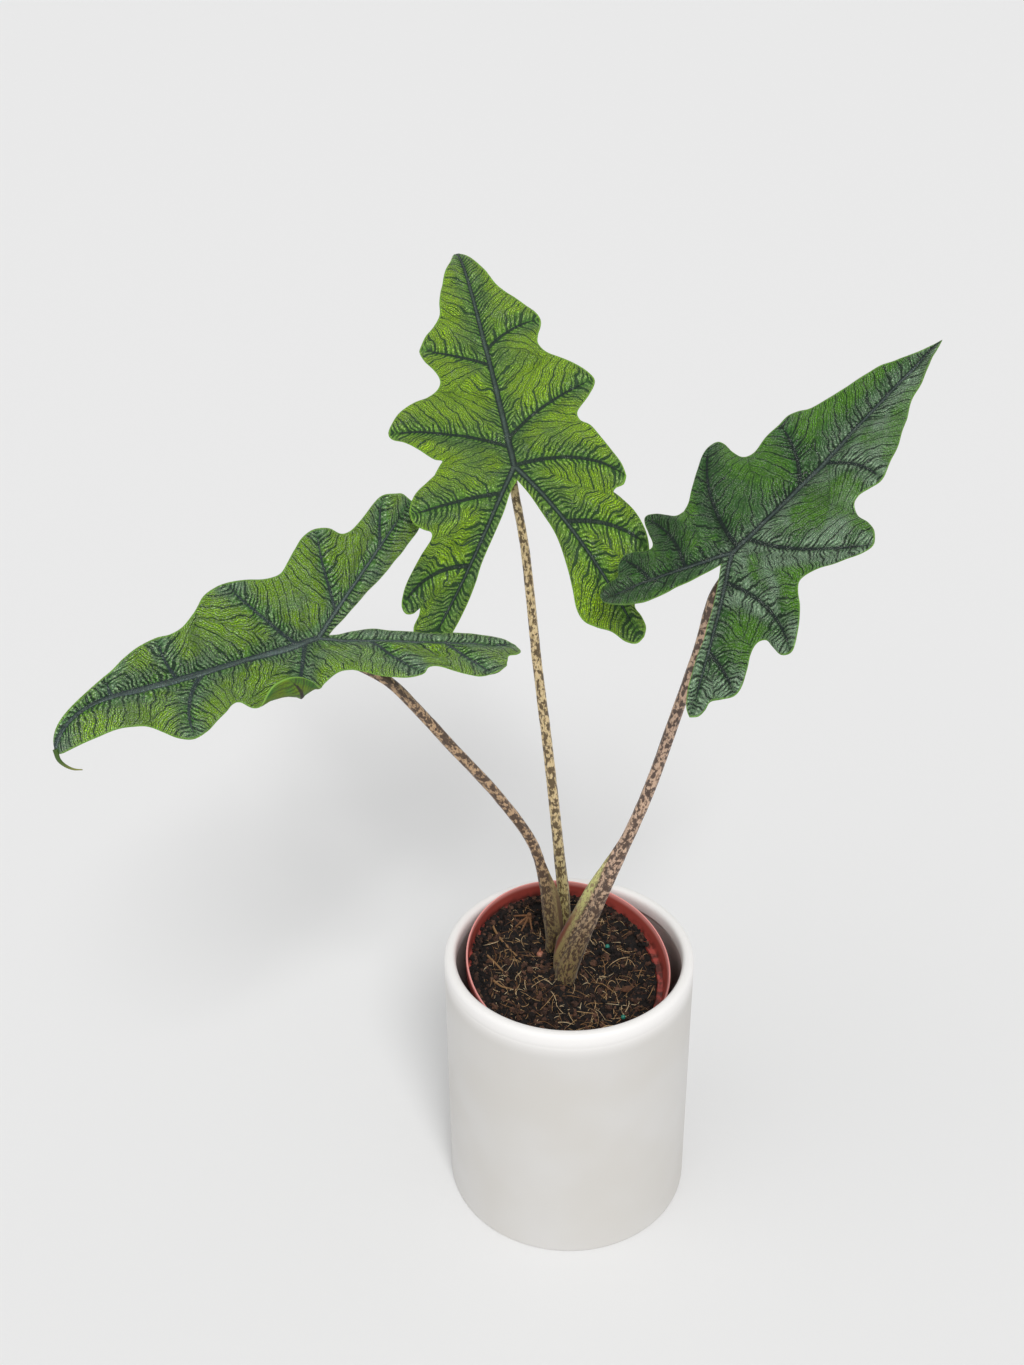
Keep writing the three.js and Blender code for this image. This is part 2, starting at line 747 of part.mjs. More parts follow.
// A closed solid from a surface: its upper face, its lower face lowered by the ribs, and its rim.
function thickened(positions, triangles, ribs) {
  const surface = indexed(positions, triangles);
  surface.computeVertexNormals();
  const normals = surface.attributes.normal;
  const count = positions.length;
  const shifted = (i, height) => [
    positions[i][0] + normals.getX(i) * height,
    positions[i][1] + normals.getY(i) * height,
    positions[i][2] + normals.getZ(i) * height,
  ];
  const upper = positions.map((unused, i) => shifted(i, BLADE_THICKNESS / 2));
  const lower = positions.map((unused, i) => shifted(i, -BLADE_THICKNESS / 2 - ribs[i]));
  const faces = [];
  const open = new Map();
  for (const [a, b, c] of triangles) {
    faces.push([a, b, c], [a + count, c + count, b + count]);
    for (const [from, to] of [[a, b], [b, c], [c, a]]) {
      if (open.has(`${to} ${from}`)) {
        open.delete(`${to} ${from}`);
      } else {
        open.set(`${from} ${to}`, [from, to]);
      }
    }
  }
  for (const [from, to] of open.values()) {
    faces.push([from, from + count, to + count], [from, to + count, to]);
  }
  return indexed([...upper, ...lower], faces);
}

// Stems: the points they pass through from their foot in the soil, the radius at foot, middle and top,
// and the sheath wing at the foot. Each ends just under its blade, square to it.
const STEMS = {
  centre: {
    through: [[0.3, 16, 168], [0.3, 17, 192.5], [-4.5, 21, 222], [-11.5, 33.5, 286], [-17.5, 43, 338.5],
      [-23.5, 53, 400.5]],
    radii: [4.2, 3.0, 2.2],
    wing: 0,
    wingAngle: 0,
    wingLength: 0.2,
    colour: COLOURS.stemTan,
  },
  right: {
    through: [[-1.5, 0, 152], [5, -1, 174], [15.5, -6, 206.5], [27, -11.5, 244.5], [41, -16.5, 290],
      [53, -22, 340], [62.5, -26.5, 381], [68, -31, 413]],
    radii: [6.6, 3.5, 2.6],
    wing: 6.5,
    wingAngle: 165,
    wingLength: 0.36,
    colour: COLOURS.stemPink,
  },
  left: {
    through: [[-9.5, 16, 165], [-11.5, 11.5, 186], [-14.5, 7, 215], [-20.5, 3, 242.5], [-40, -8.5, 283.5],
      [-63, -19, 321], [-78.5, -26, 346.5], [-93.5, -33, 369], [-113, -39.5, 385]],
    radii: [3.8, 2.9, 2.6],
    wing: 5.5,
    wingAngle: -42,
    wingLength: 0.31,
    colour: COLOURS.stemPink,
  },
};
const STEM_STEPS = 26;
const STEM_SIDES = 14;
const STEM_ARRIVAL = 8;
const HOLE_MARGIN = 0.35;

// Small things in and on the soil, placed in the leaning pot's frame: x, y, and size.
const CORMEL = { at: [-15, 11.4], radius: 2.3 };
const OLD_STUB = { at: [-21.6, 38], radius: 3.4, height: 9 };
const BEADS = [[25.7, 20.5], [32.5, -28.4]];
const BEAD_RADIUS = 1.4;
const BARK_CHIPS = [
  { at: [35.7, -9], size: [7.5, 4.2, 2.4], turn: 20 },
  { at: [-37.7, -16], size: [3.4, 2.2, 1.5], turn: 70 },
  { at: [5.3, -30], size: [5.2, 1.8, 1.4], turn: -30 },
];
const STRAWS = [
  { along: [[-44, 32], [-41, 26], [-37.6, 20], [-30, 11], [-24.5, 5]], radius: 0.8 },
  { along: [[-46.5, 9], [-42, 4], [-38, -0.5], [-35, -5]], radius: 0.7 },
  { along: [[-43, -9], [-38, -12.5], [-32, -14]], radius: 0.7 },
];
const STRAW_STEPS = 12;
const STRAW_SIDES = 6;
const BIT_GAP = 0.35;

function smoothPath(points) {
  return new THREE.CatmullRomCurve3(points.map((point) => new THREE.Vector3(...point)), false, "centripetal");
}

// A stem's swept solid. margin makes it fatter and deeper, as the tool that leaves its hole in the soil.
function stemGeometry(leaf, stem, margin) {
  const { up } = leafAxes(leaf);
  const junction = new THREE.Vector3(...leaf.junction);
  const end = junction.clone().addScaledVector(up, -(BLADE_THICKNESS / 2 + 2 * GAP + 0.3));
  const arrival = junction.clone().addScaledVector(up, -STEM_ARRIVAL);
  const first = new THREE.Vector3(...stem.through[0]);
  const foot = first.clone().add(new THREE.Vector3(-0.6, 1.5, -(STEM_DEPTH + margin)));
  const path = smoothPath([foot.toArray(), ...stem.through, arrival.toArray(), end.toArray()]);
  const [low, middle, high] = stem.radii;
  const radius = (t) => {
    const taper = t < 0.3 ? THREE.MathUtils.lerp(low, middle, THREE.MathUtils.smoothstep(t, 0, 0.3))
      : THREE.MathUtils.lerp(middle, high, (t - 0.3) / 0.7);
    return taper + margin;
  };
  const wing = (t) => stem.wing * (1 - THREE.MathUtils.smoothstep(t, 0.4 * stem.wingLength, stem.wingLength));
  return sweptStem(path, STEM_STEPS, STEM_SIDES, radius, wing, degrees(stem.wingAngle));
}

// The pebble bed: a fused bed that fills the cover pot's foot, with a flat seat, tilted like the
// nursery pot's base, and rough pebbles standing out round it.
function makePebbleBed(lean) {
  const toPot = lean.clone().invert();
  const seatHeight = (x, y) => {
    const low = new THREE.Vector3(x, y, 0).applyMatrix4(toPot);
    const high = new THREE.Vector3(x, y, 1).applyMatrix4(toPot);
    const share = (-NURSERY_HEIGHT - GAP - low.z) / (high.z - low.z);
    const reach = Math.hypot(low.x + share * (high.x - low.x), low.y + share * (high.y - low.y));
    const free = THREE.MathUtils.smoothstep(reach, NURSERY_BASE_RADIUS + 3, NURSERY_BASE_RADIUS + 12);
    const bumps = 2.4 * Math.sin(x * 0.55 + 0.4) * Math.cos(y * 0.6) - 2.6;
    return share + free * bumps;
  };
  const radius = COVER_WALL_INNER_RADIUS - GAP;
  const foot = radius - 4.4;
  const bed = heapedDisc(radius, 8, 32, seatHeight, foot, () => COVER_FLOOR + GAP);
  return named("clay_pebble_bed", bed, COLOURS.clay, 0.95);
}

// The soil: it fills the nursery pot to its ledge and has a plain hole for each stem and rooted bit.
function makeSoil(tools) {
  const floor = -NURSERY_HEIGHT + NURSERY_BASE_WALL + GAP;
  const topRadius = nurseryInnerRadius(SOIL_LEVEL - 1.5) - GAP;
  const heap = heapedDisc(topRadius, SOIL_RINGS, SOIL_SEGMENTS, soilHeight,
    nurseryInnerRadius(floor) - GAP, () => floor);
  let soil = toSolid(heap);
  for (const tool of tools) {
    soil = soil.subtract(toSolid(tool));
  }
  return named("soil", toGeometry(soil), COLOURS.soil, 0.95);
}

// The little pink offset corm that sits half in the soil, with a stub of root on top.
function makeCormel() {
  const [x, y] = CORMEL.at;
  const ball = new THREE.SphereGeometry(CORMEL.radius, 12, 8);
  const root = new THREE.ConeGeometry(0.9, 5, 6);
  root.rotateX(Math.PI / 2);
  root.translate(-0.6, 0.6, CORMEL.radius + 1.6);
  const whole = toGeometry(toSolid(ball).add(toSolid(root)));
  return named("cormel", whole.translate(x, y, soilHeight(x, y) + 0.6), COLOURS.cormel, 0.5);
}

// The fibrous stub of an old leaf stem: a ragged cone with a few strands that end near the soil.
function makeOldStub() {
  const [x, y] = OLD_STUB.at;
  const ground = soilHeight(x, y);
  const core = new THREE.CylinderGeometry(OLD_STUB.radius * 0.35, OLD_STUB.radius, OLD_STUB.height, 9);
  core.rotateX(Math.PI / 2);
  core.translate(0, 0, OLD_STUB.height / 2 - 3);
  let stub = toSolid(core);
  for (const [dx, dy, drop] of [[-8, -7, -0.2], [-4.5, -10, 0], [2, -9, 0.2], [-9, 1, 0]]) {
    const strand = smoothPath([[0, 0, 4.5], [dx * 0.45, dy * 0.45, 3.4], [dx, dy, 1.7 + drop]]);
    stub = stub.add(toSolid(sweptStem(strand, 5, 5, (t) => 0.8 - 0.3 * t)));
  }
  const whole = toGeometry(stub);
  return named("old_leaf_stub", whole.translate(x, y, ground), COLOURS.stub, 0.9);
}

// Bits that lie on the soil: fertiliser beads, bark chips and straws.
function makeBits() {
  const bits = [];
  BEADS.forEach(([x, y], i) => {
    const bead = new THREE.SphereGeometry(BEAD_RADIUS, 10, 7);
    bead.translate(x, y, soilHeight(x, y) + BEAD_RADIUS + BIT_GAP);
    bits.push(named(`fertiliser_bead_${i + 1}`, bead, COLOURS.bead, 0.4));
  });
  BARK_CHIPS.forEach(({ at: [x, y], size, turn }, i) => {
    const chip = new THREE.IcosahedronGeometry(1, 1);
    chip.scale(size[0] / 2, size[1] / 2, size[2] / 2);
    chip.rotateZ(degrees(turn));
    chip.translate(x, y, soilHeight(x, y) + size[2] / 2 + BIT_GAP + 0.25);
    bits.push(named(`bark_chip_${i + 1}`, toGeometry(toSolid(chip)), COLOURS.bark, 0.9));
  });
  STRAWS.forEach(({ along, radius }, i) => {
    const raised = along.map(([x, y]) => [x, y, soilHeight(x, y) + radius + BIT_GAP + 0.1]);
    const straw = sweptStem(smoothPath(raised), STRAW_STEPS, STRAW_SIDES, (t) => radius * (1 - 0.4 * t));
    bits.push(named(`straw_${i + 1}`, straw, COLOURS.straw, 0.8));
  });
  return bits;
}

function makePlant() {
  const plant = new THREE.Group();
  plant.name = "plant";
  for (const leaf of LEAVES) {
    const stem = STEMS[leaf.name];
    plant.add(named(`petiole_${leaf.name}`, stemGeometry(leaf, stem, 0), stem.colour, 0.6));
    plant.add(named(`blade_${leaf.name}`, makeBlade(leaf), leaf.colour, 0.55));
  }
  return plant;
}

// The nursery pot and all that is in it but the stems, in the leaning frame.
function makePotted() {
  const potted = new THREE.Group();
  potted.name = "potted";
  potted.position.copy(LEAN_CENTRE);
  potted.rotation.set(LEAN_BACK_UP, LEAN_RIGHT_DOWN, 0);
  potted.updateMatrix();
  const toPot = potted.matrix.clone().invert();
  const tools = LEAVES.map((leaf) => stemGeometry(leaf, STEMS[leaf.name], HOLE_MARGIN).applyMatrix4(toPot));
  const cormel = makeCormel();
  const stub = makeOldStub();
  const [cormelX, cormelY] = CORMEL.at;
  const dimple = new THREE.SphereGeometry(CORMEL.radius + HOLE_MARGIN, 12, 8);
  tools.push(dimple.translate(cormelX, cormelY, soilHeight(cormelX, cormelY) + 0.6));
  const [stubX, stubY] = OLD_STUB.at;
  const socket = new THREE.CylinderGeometry(OLD_STUB.radius + 0.5, OLD_STUB.radius + 0.5, 8, 12);
  socket.rotateX(Math.PI / 2);
  tools.push(socket.translate(stubX, stubY, soilHeight(stubX, stubY) + 0.7));
  potted.add(makeNurseryPot(), makeSoil(tools), cormel, stub, ...makeBits());
  return potted;
}

const pottedAlocasia = new THREE.Group();
pottedAlocasia.name = "potted_alocasia";
const potted = makePotted();
pottedAlocasia.add(makeCoverPot(), makePebbleBed(potted.matrix), potted, makePlant());

export default pottedAlocasia;
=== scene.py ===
"""A potted jacklyn alocasia: three lobed, quilted leaves on mottled stems in a leaning nursery pot.

Sizes in this script are millimetres in the part's own frame, and turn to metres when a mesh is made.
"""
import logging
import math
from dataclasses import dataclass, field
from enum import Enum

import bpy
import numpy as np
from mathutils import Matrix, Vector


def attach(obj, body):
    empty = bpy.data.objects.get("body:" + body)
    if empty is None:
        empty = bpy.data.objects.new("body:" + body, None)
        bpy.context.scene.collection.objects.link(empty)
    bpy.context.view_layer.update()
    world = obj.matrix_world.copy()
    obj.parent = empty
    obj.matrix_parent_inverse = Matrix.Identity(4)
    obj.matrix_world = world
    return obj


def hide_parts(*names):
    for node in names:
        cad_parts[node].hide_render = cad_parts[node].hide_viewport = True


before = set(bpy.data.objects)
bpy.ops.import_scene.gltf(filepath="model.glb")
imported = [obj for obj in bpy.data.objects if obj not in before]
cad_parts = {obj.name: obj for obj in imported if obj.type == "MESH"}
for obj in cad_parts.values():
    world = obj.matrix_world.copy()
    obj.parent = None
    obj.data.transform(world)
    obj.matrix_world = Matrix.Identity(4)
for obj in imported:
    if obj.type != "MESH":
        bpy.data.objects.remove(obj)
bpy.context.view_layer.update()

LOG = logging.getLogger("potted_alocasia")

MM = 0.001

Array = np.ndarray
Socket = bpy.types.NodeSocket
Material = bpy.types.Material
Point = tuple[float, float, float]


def to_linear(hex_colour: str) -> tuple[float, float, float, float]:
    """Turn an sRGB hex colour such as '#8fa03c' to linear red, green, blue and alpha.

    Args:
        hex_colour: six hex digits after a hash sign.

    Returns:
        The linear colour, with alpha 1.
    """
    parts = [int(hex_colour[i:i + 2], 16) / 255 for i in (1, 3, 5)]
    linear = [c / 12.92 if c <= 0.04045 else ((c + 0.055) / 1.055) ** 2.4 for c in parts]
    return (*linear, 1.0)


class Op(Enum):
    """What a shader node does: its class without the ShaderNode prefix, and the setting that picks it."""

    ADD = "Math operation=ADD"
    SUBTRACT = "Math operation=SUBTRACT"
    MULTIPLY = "Math operation=MULTIPLY"
    MULTIPLY_ADD = "Math operation=MULTIPLY_ADD"
    DIVIDE = "Math operation=DIVIDE"
    LOWER = "Math operation=MINIMUM"
    HIGHER = "Math operation=MAXIMUM"
    GREATER = "Math operation=GREATER_THAN"
    ZIGZAG = "Math operation=PINGPONG"
    RISE = "MapRange interpolation_type=SMOOTHSTEP"
    MIX = "Mix data_type=RGBA"
    PICK = "Mix data_type=FLOAT"
    NOISE = "TexNoise"
    CELLS = "TexVoronoi"
    CELL_EDGES = "TexVoronoi feature=DISTANCE_TO_EDGE"
    MOVE = "VectorMath operation=ADD"
    STRETCH = "VectorMath operation=MULTIPLY"
    LENGTH = "VectorMath operation=LENGTH"
    SCALE = "Mapping"
    AXES = "SeparateXYZ"
    ATTRIBUTE = "Attribute"
    PLACE = "TexCoord"
    BUMP = "Bump"


class Coat:
    """A material being made, with its node tree."""

    def __init__(self, name: str) -> None:
        """Start the material.

        Args:
            name: what the real finish is called.
        """
        self.material = bpy.data.materials.new(name)
        self.material.use_nodes = True
        self.tree = self.material.node_tree

    def fill(self, entry: Socket, value: object) -> None:
        """Link or set an input.

        Args:
            entry: the input.
            value: a socket to link, or a number, a vector or a hex colour to set; None leaves it.
        """
        if isinstance(value, Socket):
            self.tree.links.new(value, entry)
        elif value is not None:
            entry.default_value = to_linear(value) if isinstance(value, str) else value

    def add(self, kind: Op, *values: object, out: int | str = 0, **settings: object) -> Socket:
        """Add a node, set its properties, and fill or link its inputs.

        Args:
            kind: what the node does.
            values: what its inputs in use get, in their order.
            out: the output that is returned, by its name, or by its place among those in use.
            settings: more properties of the node.

        Returns:
            The output socket.
        """
        name, *picks = kind.value.split()
        node = self.tree.nodes.new("ShaderNode" + name)
        for key, value in [*(pick.split("=") for pick in picks), *settings.items()]:
            setattr(node, key, value)
        for entry, value in zip([s for s in node.inputs if s.enabled], values):
            self.fill(entry, value)
        return node.outputs[out] if isinstance(out, str) else [s for s in node.outputs if s.enabled][out]

    def layered(self, colour: object, *layers: tuple[object, object]) -> Socket:
        """Lay colours over a ground.

        Args:
            colour: the ground.
            layers: each colour, after the share that it covers.

        Returns:
            The colour of all together.
        """
        for share, tone in layers:
            colour = self.add(Op.MIX, share, colour, tone)
        return colour

    def summed(self, total: object, *parts: tuple[Socket, float]) -> Socket:
        """Add sockets to a starting value.

        Args:
            total: the starting value.
            parts: each socket, before the factor that it is taken times.

        Returns:
            The sum.
        """
        for part, factor in parts:
            total = self.add(Op.MULTIPLY_ADD, part, factor, total)
        return total

    def grain(self, cell: float, detail: float) -> Socket:
        """Noise on Object coordinates: cell is its size in mm, and detail the finer layers added."""
        cells = self.add(Op.SCALE, self.add(Op.PLACE, out="Object"), None, None, (1 / (cell * MM),) * 3)
        return self.add(Op.NOISE, cells, 1.0, detail)

    def finish(self, looks: dict[str, object], height: Socket | None = None, strength: float = 1.0,
               depth: float = 1.0) -> Material:
        """Fill the shader's inputs, and give the surface its fine relief.

        Args:
            looks: numbers, colours or sockets by the name of the shader's input.
            height: the relief, about 0 to 1, or None for a plain surface.
            strength: how strongly it shows.
            depth: how deep it is, in mm.

        Returns:
            The finished material.
        """
        if height is not None:
            looks = {**looks, "Normal": self.add(Op.BUMP, strength, depth * MM, None, height)}
        for name, value in looks.items():
            self.fill(self.tree.nodes["Principled BSDF"].inputs[name], value)
        return self.material


def shaped_noise(points: Array, cell: float, seed: int) -> Array:
    """Smooth random values on points, from -1 to 1.

    Formula: each corner of a lattice with cells of the given size holds a hashed random value, and the
    value at a point is blended from the corners of its cell with smoothstep weights.

    Args:
        points: array of shape (..., 2) or (..., 3).
        cell: the lattice's cell size, in the points' units.
        seed: picks the random values.

    Returns:
        One value for each point.
    """
    scaled = np.asarray(points, float) / cell
    base = np.floor(scaled).astype(np.int64)
    share = smoothstep(scaled - base, 0, 1)
    total = np.zeros(scaled.shape[:-1])
    primes = np.array([73856093, 19349663, 83492791][:scaled.shape[-1]])
    for corner in np.ndindex(*([2] * scaled.shape[-1])):
        hashed = (base + corner) @ primes + seed * 2654435761
        hashed = (hashed ^ (hashed >> 13)) * 1274126177 & 0x7FFFFFFF
        hashed = (hashed ^ (hashed >> 15)) * 2246822519 & 0x7FFFFFFF
        weight = np.prod(np.where(np.array(corner) == 1, share, 1 - share), axis=-1)
        total += (hashed / 0x7FFFFFFF * 2 - 1) * weight
    return total


def smoothstep(x: Array, low: float, high: float) -> Array:
    """Rise smoothly from 0 at low to 1 at high."""
    t = np.clip((np.asarray(x, float) - low) / (high - low), 0, 1)
    return t * t * (3 - 2 * t)


def lengths_along(points: Array) -> Array:
    """Distance from the first point to each point along the line through them."""
    return np.concatenate([[0], np.cumsum(np.linalg.norm(np.diff(points, axis=0), axis=1))])


def polar(radius: Array, segments: int) -> tuple[Array, Array]:
    """X and Y of a turn of evenly spaced points at each radius, of shape (radii, segments)."""
    angle = np.linspace(0, 2 * np.pi, segments, endpoint=False)
    return np.outer(radius, np.cos(angle)), np.outer(radius, np.sin(angle))


@dataclass
class Surface:
    """Vertices in mm and faces of one piece, gathered before they go into a mesh."""

    vertices: Array
    quads: Array = field(default_factory=lambda: np.zeros((0, 4), int))
    triangles: Array = field(default_factory=lambda: np.zeros((0, 3), int))
    slots: Array | None = None
    numbers: dict[str, Array] = field(default_factory=dict)
    vectors: dict[str, Array] = field(default_factory=dict)

    def build(self, name: str, materials: list[Material], slot: str,
              replaces: tuple[str, ...] = (), smooth: bool = True) -> None:
        """Put the surface into a mesh object that rides on the root body.

        Args:
            name: the object's name.
            materials: its material slots, in order.
            slot: the name of a material slot; not used.
            replaces: CAD nodes that it stands for.
            smooth: whether its faces are shaded smooth.
        """
        mesh = bpy.data.meshes.new(name)
        counts = np.concatenate([np.full(len(self.quads), 4), np.full(len(self.triangles), 3)])
        loops = np.concatenate([self.quads.ravel(), self.triangles.ravel()]).astype(np.int32)
        starts = np.concatenate([[0], np.cumsum(counts)[:-1]]).astype(np.int32)
        mesh.vertices.add(len(self.vertices))
        mesh.vertices.foreach_set("co", (self.vertices * MM).astype(np.float32).ravel())
        mesh.loops.add(len(loops))
        mesh.loops.foreach_set("vertex_index", loops)
        mesh.polygons.add(len(counts))
        mesh.polygons.foreach_set("loop_start", starts)
        mesh.polygons.foreach_set("use_smooth", np.full(len(counts), smooth))
        if self.slots is not None:
            mesh.polygons.foreach_set("material_index", self.slots.astype(np.int32))
        for kind, entry, named in (("FLOAT", "value", self.numbers),
                                   ("FLOAT_VECTOR", "vector", self.vectors)):
            for key, values in named.items():
                attribute = mesh.attributes.new(key, kind, "POINT")
                attribute.data.foreach_set(entry, values.astype(np.float32).ravel())
        for material in materials:
            mesh.materials.append(material)
        mesh.update(calc_edges=True)
        mesh.validate()
        piece = bpy.data.objects.new(name, mesh)
        bpy.context.scene.collection.objects.link(piece)
        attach(piece, "root")
        if replaces:
            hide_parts(*replaces)
        LOG.info("%s: %d vertices, %d faces", name, len(self.vertices), len(counts))


def grid_quads(rows: int, columns: int, closed: bool) -> Array:
    """Quads of a grid of vertices.

    Args:
        rows: number of rows.
        columns: number of vertices in a row.
        closed: whether the last column joins the first.

    Returns:
        Array of shape (n, 4).
    """
    across = np.arange(columns if closed else columns - 1)
    row, column = np.meshgrid(np.arange(rows - 1), across, indexing="ij")
    following = (column + 1) % columns
    quads = [row * columns + column, row * columns + following,
             (row + 1) * columns + following, (row + 1) * columns + column]
    return np.stack(quads, -1).reshape(-1, 4)


def closed_rings(rings: Array, first: Array, last: Array, way: int = 1) -> Surface:
    """Join rings of points by quads, and close both ends by fans to one more point each.

    Args:
        rings: array of shape (rings, segments, 3).
        first: the point beyond the first ring.
        last: the point beyond the last ring.
        way: 1 for faces as a turn from the bottom up and outwards needs them, -1 for the other way.

    Returns:
        The closed surface.
    """
    count, segments, _ = rings.shape
    total = count * segments
    step = np.arange(segments)
    after = (step + 1) % segments
    fans = [np.stack([np.full(segments, total), after, step], -1),
            np.stack([np.full(segments, total + 1), total - segments + step, total - segments + after], -1)]
    return Surface(np.vstack([rings.reshape(-1, 3), [first], [last]]),
                   grid_quads(count, segments, True)[:, ::way], np.vstack(fans)[:, ::way])


def revolved(profile: Array, segments: int) -> Surface:
    """Turn a profile about +Z.

    Formula: point (radius r, height h) at angle a goes to (r cos a, r sin a, h); the first and last
    points lie on the axis and are closed by fans.

    Args:
        profile: array of (radius, height), from the bottom's centre outwards and back to the axis.
        segments: how many steps the turn takes.

    Returns:
        The closed surface.
    """
    x, y = polar(profile[1:-1, 0], segments)
    z = np.broadcast_to(profile[1:-1, 1:], x.shape)
    return closed_rings(np.stack([x, y, z], -1), (0, 0, profile[0, 1]), (0, 0, profile[-1, 1]))


def mound(top: Array, middle: float, foot: float, floor: float) -> Surface:
    """Close a round top down to a flat floor.

    Args:
        top: rings of points from the middle outwards, of shape (rings, segments, 3).
        middle: height of the point in its middle.
        foot: the floor's radius.
        floor: the floor's height.

    Returns:
        The closed surface.
    """
    x, y = polar(np.array([foot]), top.shape[1])
    ring = np.stack([x, y, np.full(x.shape, floor)], -1)
    return closed_rings(np.concatenate([top, ring]), (0, 0, middle), (0, 0, floor), -1)


def rounded(points: list[Point], steps: int) -> Array:
    """Round the corners of a profile with quadratic curves.

    Args:
        points: (radius, height, rounding), where rounding is the length cut off each side of a corner.
        steps: how many points each rounded corner gets.

    Returns:
        Array of (radius, height).
    """
    places = np.array([p[:2] for p in points], float)
    out = [places[:1]]
    for i in range(1, len(points) - 1):
        corner, cut = places[i], points[i][2]
        ends = [way * min(cut / np.linalg.norm(way), 0.49)
                for way in (places[i - 1] - corner, places[i + 1] - corner)]
        t = np.linspace(0, 1, steps if cut else 1)[:, None]
        out.append(corner + (1 - t) ** 2 * ends[0] + t * t * ends[1])
    return np.vstack([*out, places[-1:]])


def smooth_path(points: Array, count: int) -> Array:
    """A smooth path through points, evenly spaced.

    Formula: a Catmull-Rom curve with centripetal spacing, sampled finely and then again at equal
    steps of its length.

    Args:
        points: array of shape (n, 3).
        count: how many points the path gets.

    Returns:
        Array of shape (count, 3).
    """
    padded = np.vstack([2 * points[0] - points[1], points, 2 * points[-1] - points[-2]])
    knots = np.concatenate([[0], np.cumsum(np.linalg.norm(np.diff(padded, axis=0), axis=1) ** 0.5)])
    fine = []
    for i in range(1, len(padded) - 2):
        rows, times = list(padded[i - 1:i + 3]), knots[i - 1:i + 3]
        t = np.linspace(times[1], times[2], 40, endpoint=i == len(padded) - 3)[:, None]
        for low, high in ((0, 1), (0, 2), (1, 2)):
            rows = [((times[k + high] - t) * a + (t - times[k + low]) * b)
                    / (times[k + high] - times[k + low]) for k, (a, b) in enumerate(zip(rows, rows[1:]))]
        fine.append(rows[0])
    fine = np.vstack(fine)
    lengths = lengths_along(fine)
    even = np.linspace(0, lengths[-1], count)
    return np.stack([np.interp(even, lengths, fine[:, k]) for k in range(3)], -1)


def swept(path: Array, reach: Array) -> Surface:
    """Sweep a section along a path and close its ends with fans.

    Formula: at each path point the section lies in the plane across the path. across is +X with its
    part along the path taken away, back is the path's direction crossed with across, and the point at
    angle a is centre + reach (across cos a + back sin a).

    Args:
        path: array of shape (n, 3).
        reach: array of shape (n, sides): the section's radius at each angle.

    Returns:
        The closed surface, with the vector attribute 'skin': the point in the stem's own unbent frame.
    """
    tangent = np.gradient(path, axis=0)
    tangent /= np.linalg.norm(tangent, axis=1, keepdims=True)
    across = np.array([1.0, 0, 0]) - tangent * tangent[:, :1]
    across /= np.linalg.norm(across, axis=1, keepdims=True)
    back = np.cross(tangent, across)
    cos, sin = polar(np.ones(1), reach.shape[1])
    aside = (reach * cos)[..., None] * across[:, None] + (reach * sin)[..., None] * back[:, None]
    lengths = np.broadcast_to(lengths_along(path)[:, None], reach.shape)
    skin = np.stack([reach * cos, reach * sin, lengths], -1).reshape(-1, 3)
    surface = closed_rings(path[:, None] + aside, path[0], path[-1])
    surface.vectors["skin"] = np.vstack([skin, [[0, 0, 0]], [[0, 0, lengths[-1, 0]]]])
    return surface


@dataclass(frozen=True)
class Half:
    """One half of a blade: its fold, curl and droop in degrees, its rear vein, and its outline.

    An outline point is (u, v), across the blade and along its midrib, in mm from the junction before the
    leaf's own size is applied. A lobe's tip is (u, v, root, bow), where root says how far from the
    junction its side vein leaves the midrib (front) or the rear lobe's main vein (outer), and bow how far
    the vein bows towards the leaf's tip, as a share of its length. Branches are small extra veins, as
    (u, v) of their foot and of their end.
    """

    fold_front: float
    fold_rear: float
    curl: float
    droop: float
    vein_angle: float
    vein_length: float
    front: tuple[tuple[float, ...], ...]
    outer: tuple[tuple[float, ...], ...]
    inner: tuple[tuple[float, ...], ...]
    branches: tuple[tuple[float, float, float, float], ...] = ()


@dataclass(frozen=True)
class Pose:
    """Where a blade stands: its junction in mm, its size, and its directions and bends in degrees."""

    junction: Point
    size: float
    azimuth: float
    elevation: float
    roll: float
    length: float
    bend: float
    tip_curl: float
    sway: float


@dataclass(frozen=True)
class RollUp:
    """A left lobe that rolls up over the upper face.

    start is how far from the midrib the roll starts, in mm, between the places low_v and high_v along
    it; radius is in mm and turn in degrees.
    """

    start: float = 24.0
    radius: float = 5.0
    turn: float = 120.0
    low_v: float = 22.0
    high_v: float = 66.0
    ease: float = 18.0

    def rolled(self, u: Array, v: Array, lift: Array) -> tuple[Array, Array]:
        """Roll flat points up.

        Formula: past the start line, w mm of lamina follow a circle of the given radius up to the
        given turn, and go on straight from there; away from the lobe the start line moves outwards.

        Args:
            u: distance across, in mm.
            v: distance along the midrib, in mm.
            lift: height out of the upper face, in mm.

        Returns:
            The new distance across and the new lift.
        """
        aside = (smoothstep(v, self.high_v, self.high_v + self.ease)
                 + smoothstep(v, self.low_v, self.low_v - self.ease))
        past = np.maximum(-u - (self.start + 40 * aside), 0)
        arc = np.minimum(past, math.radians(self.turn) * self.radius)
        sin, cos = np.sin(arc / self.radius), np.cos(arc / self.radius)
        inward = past - self.radius * sin - (past - arc) * cos
        rise = self.radius * (1 - cos) + (past - arc) * sin
        return u + inward + lift * sin, lift * cos + rise


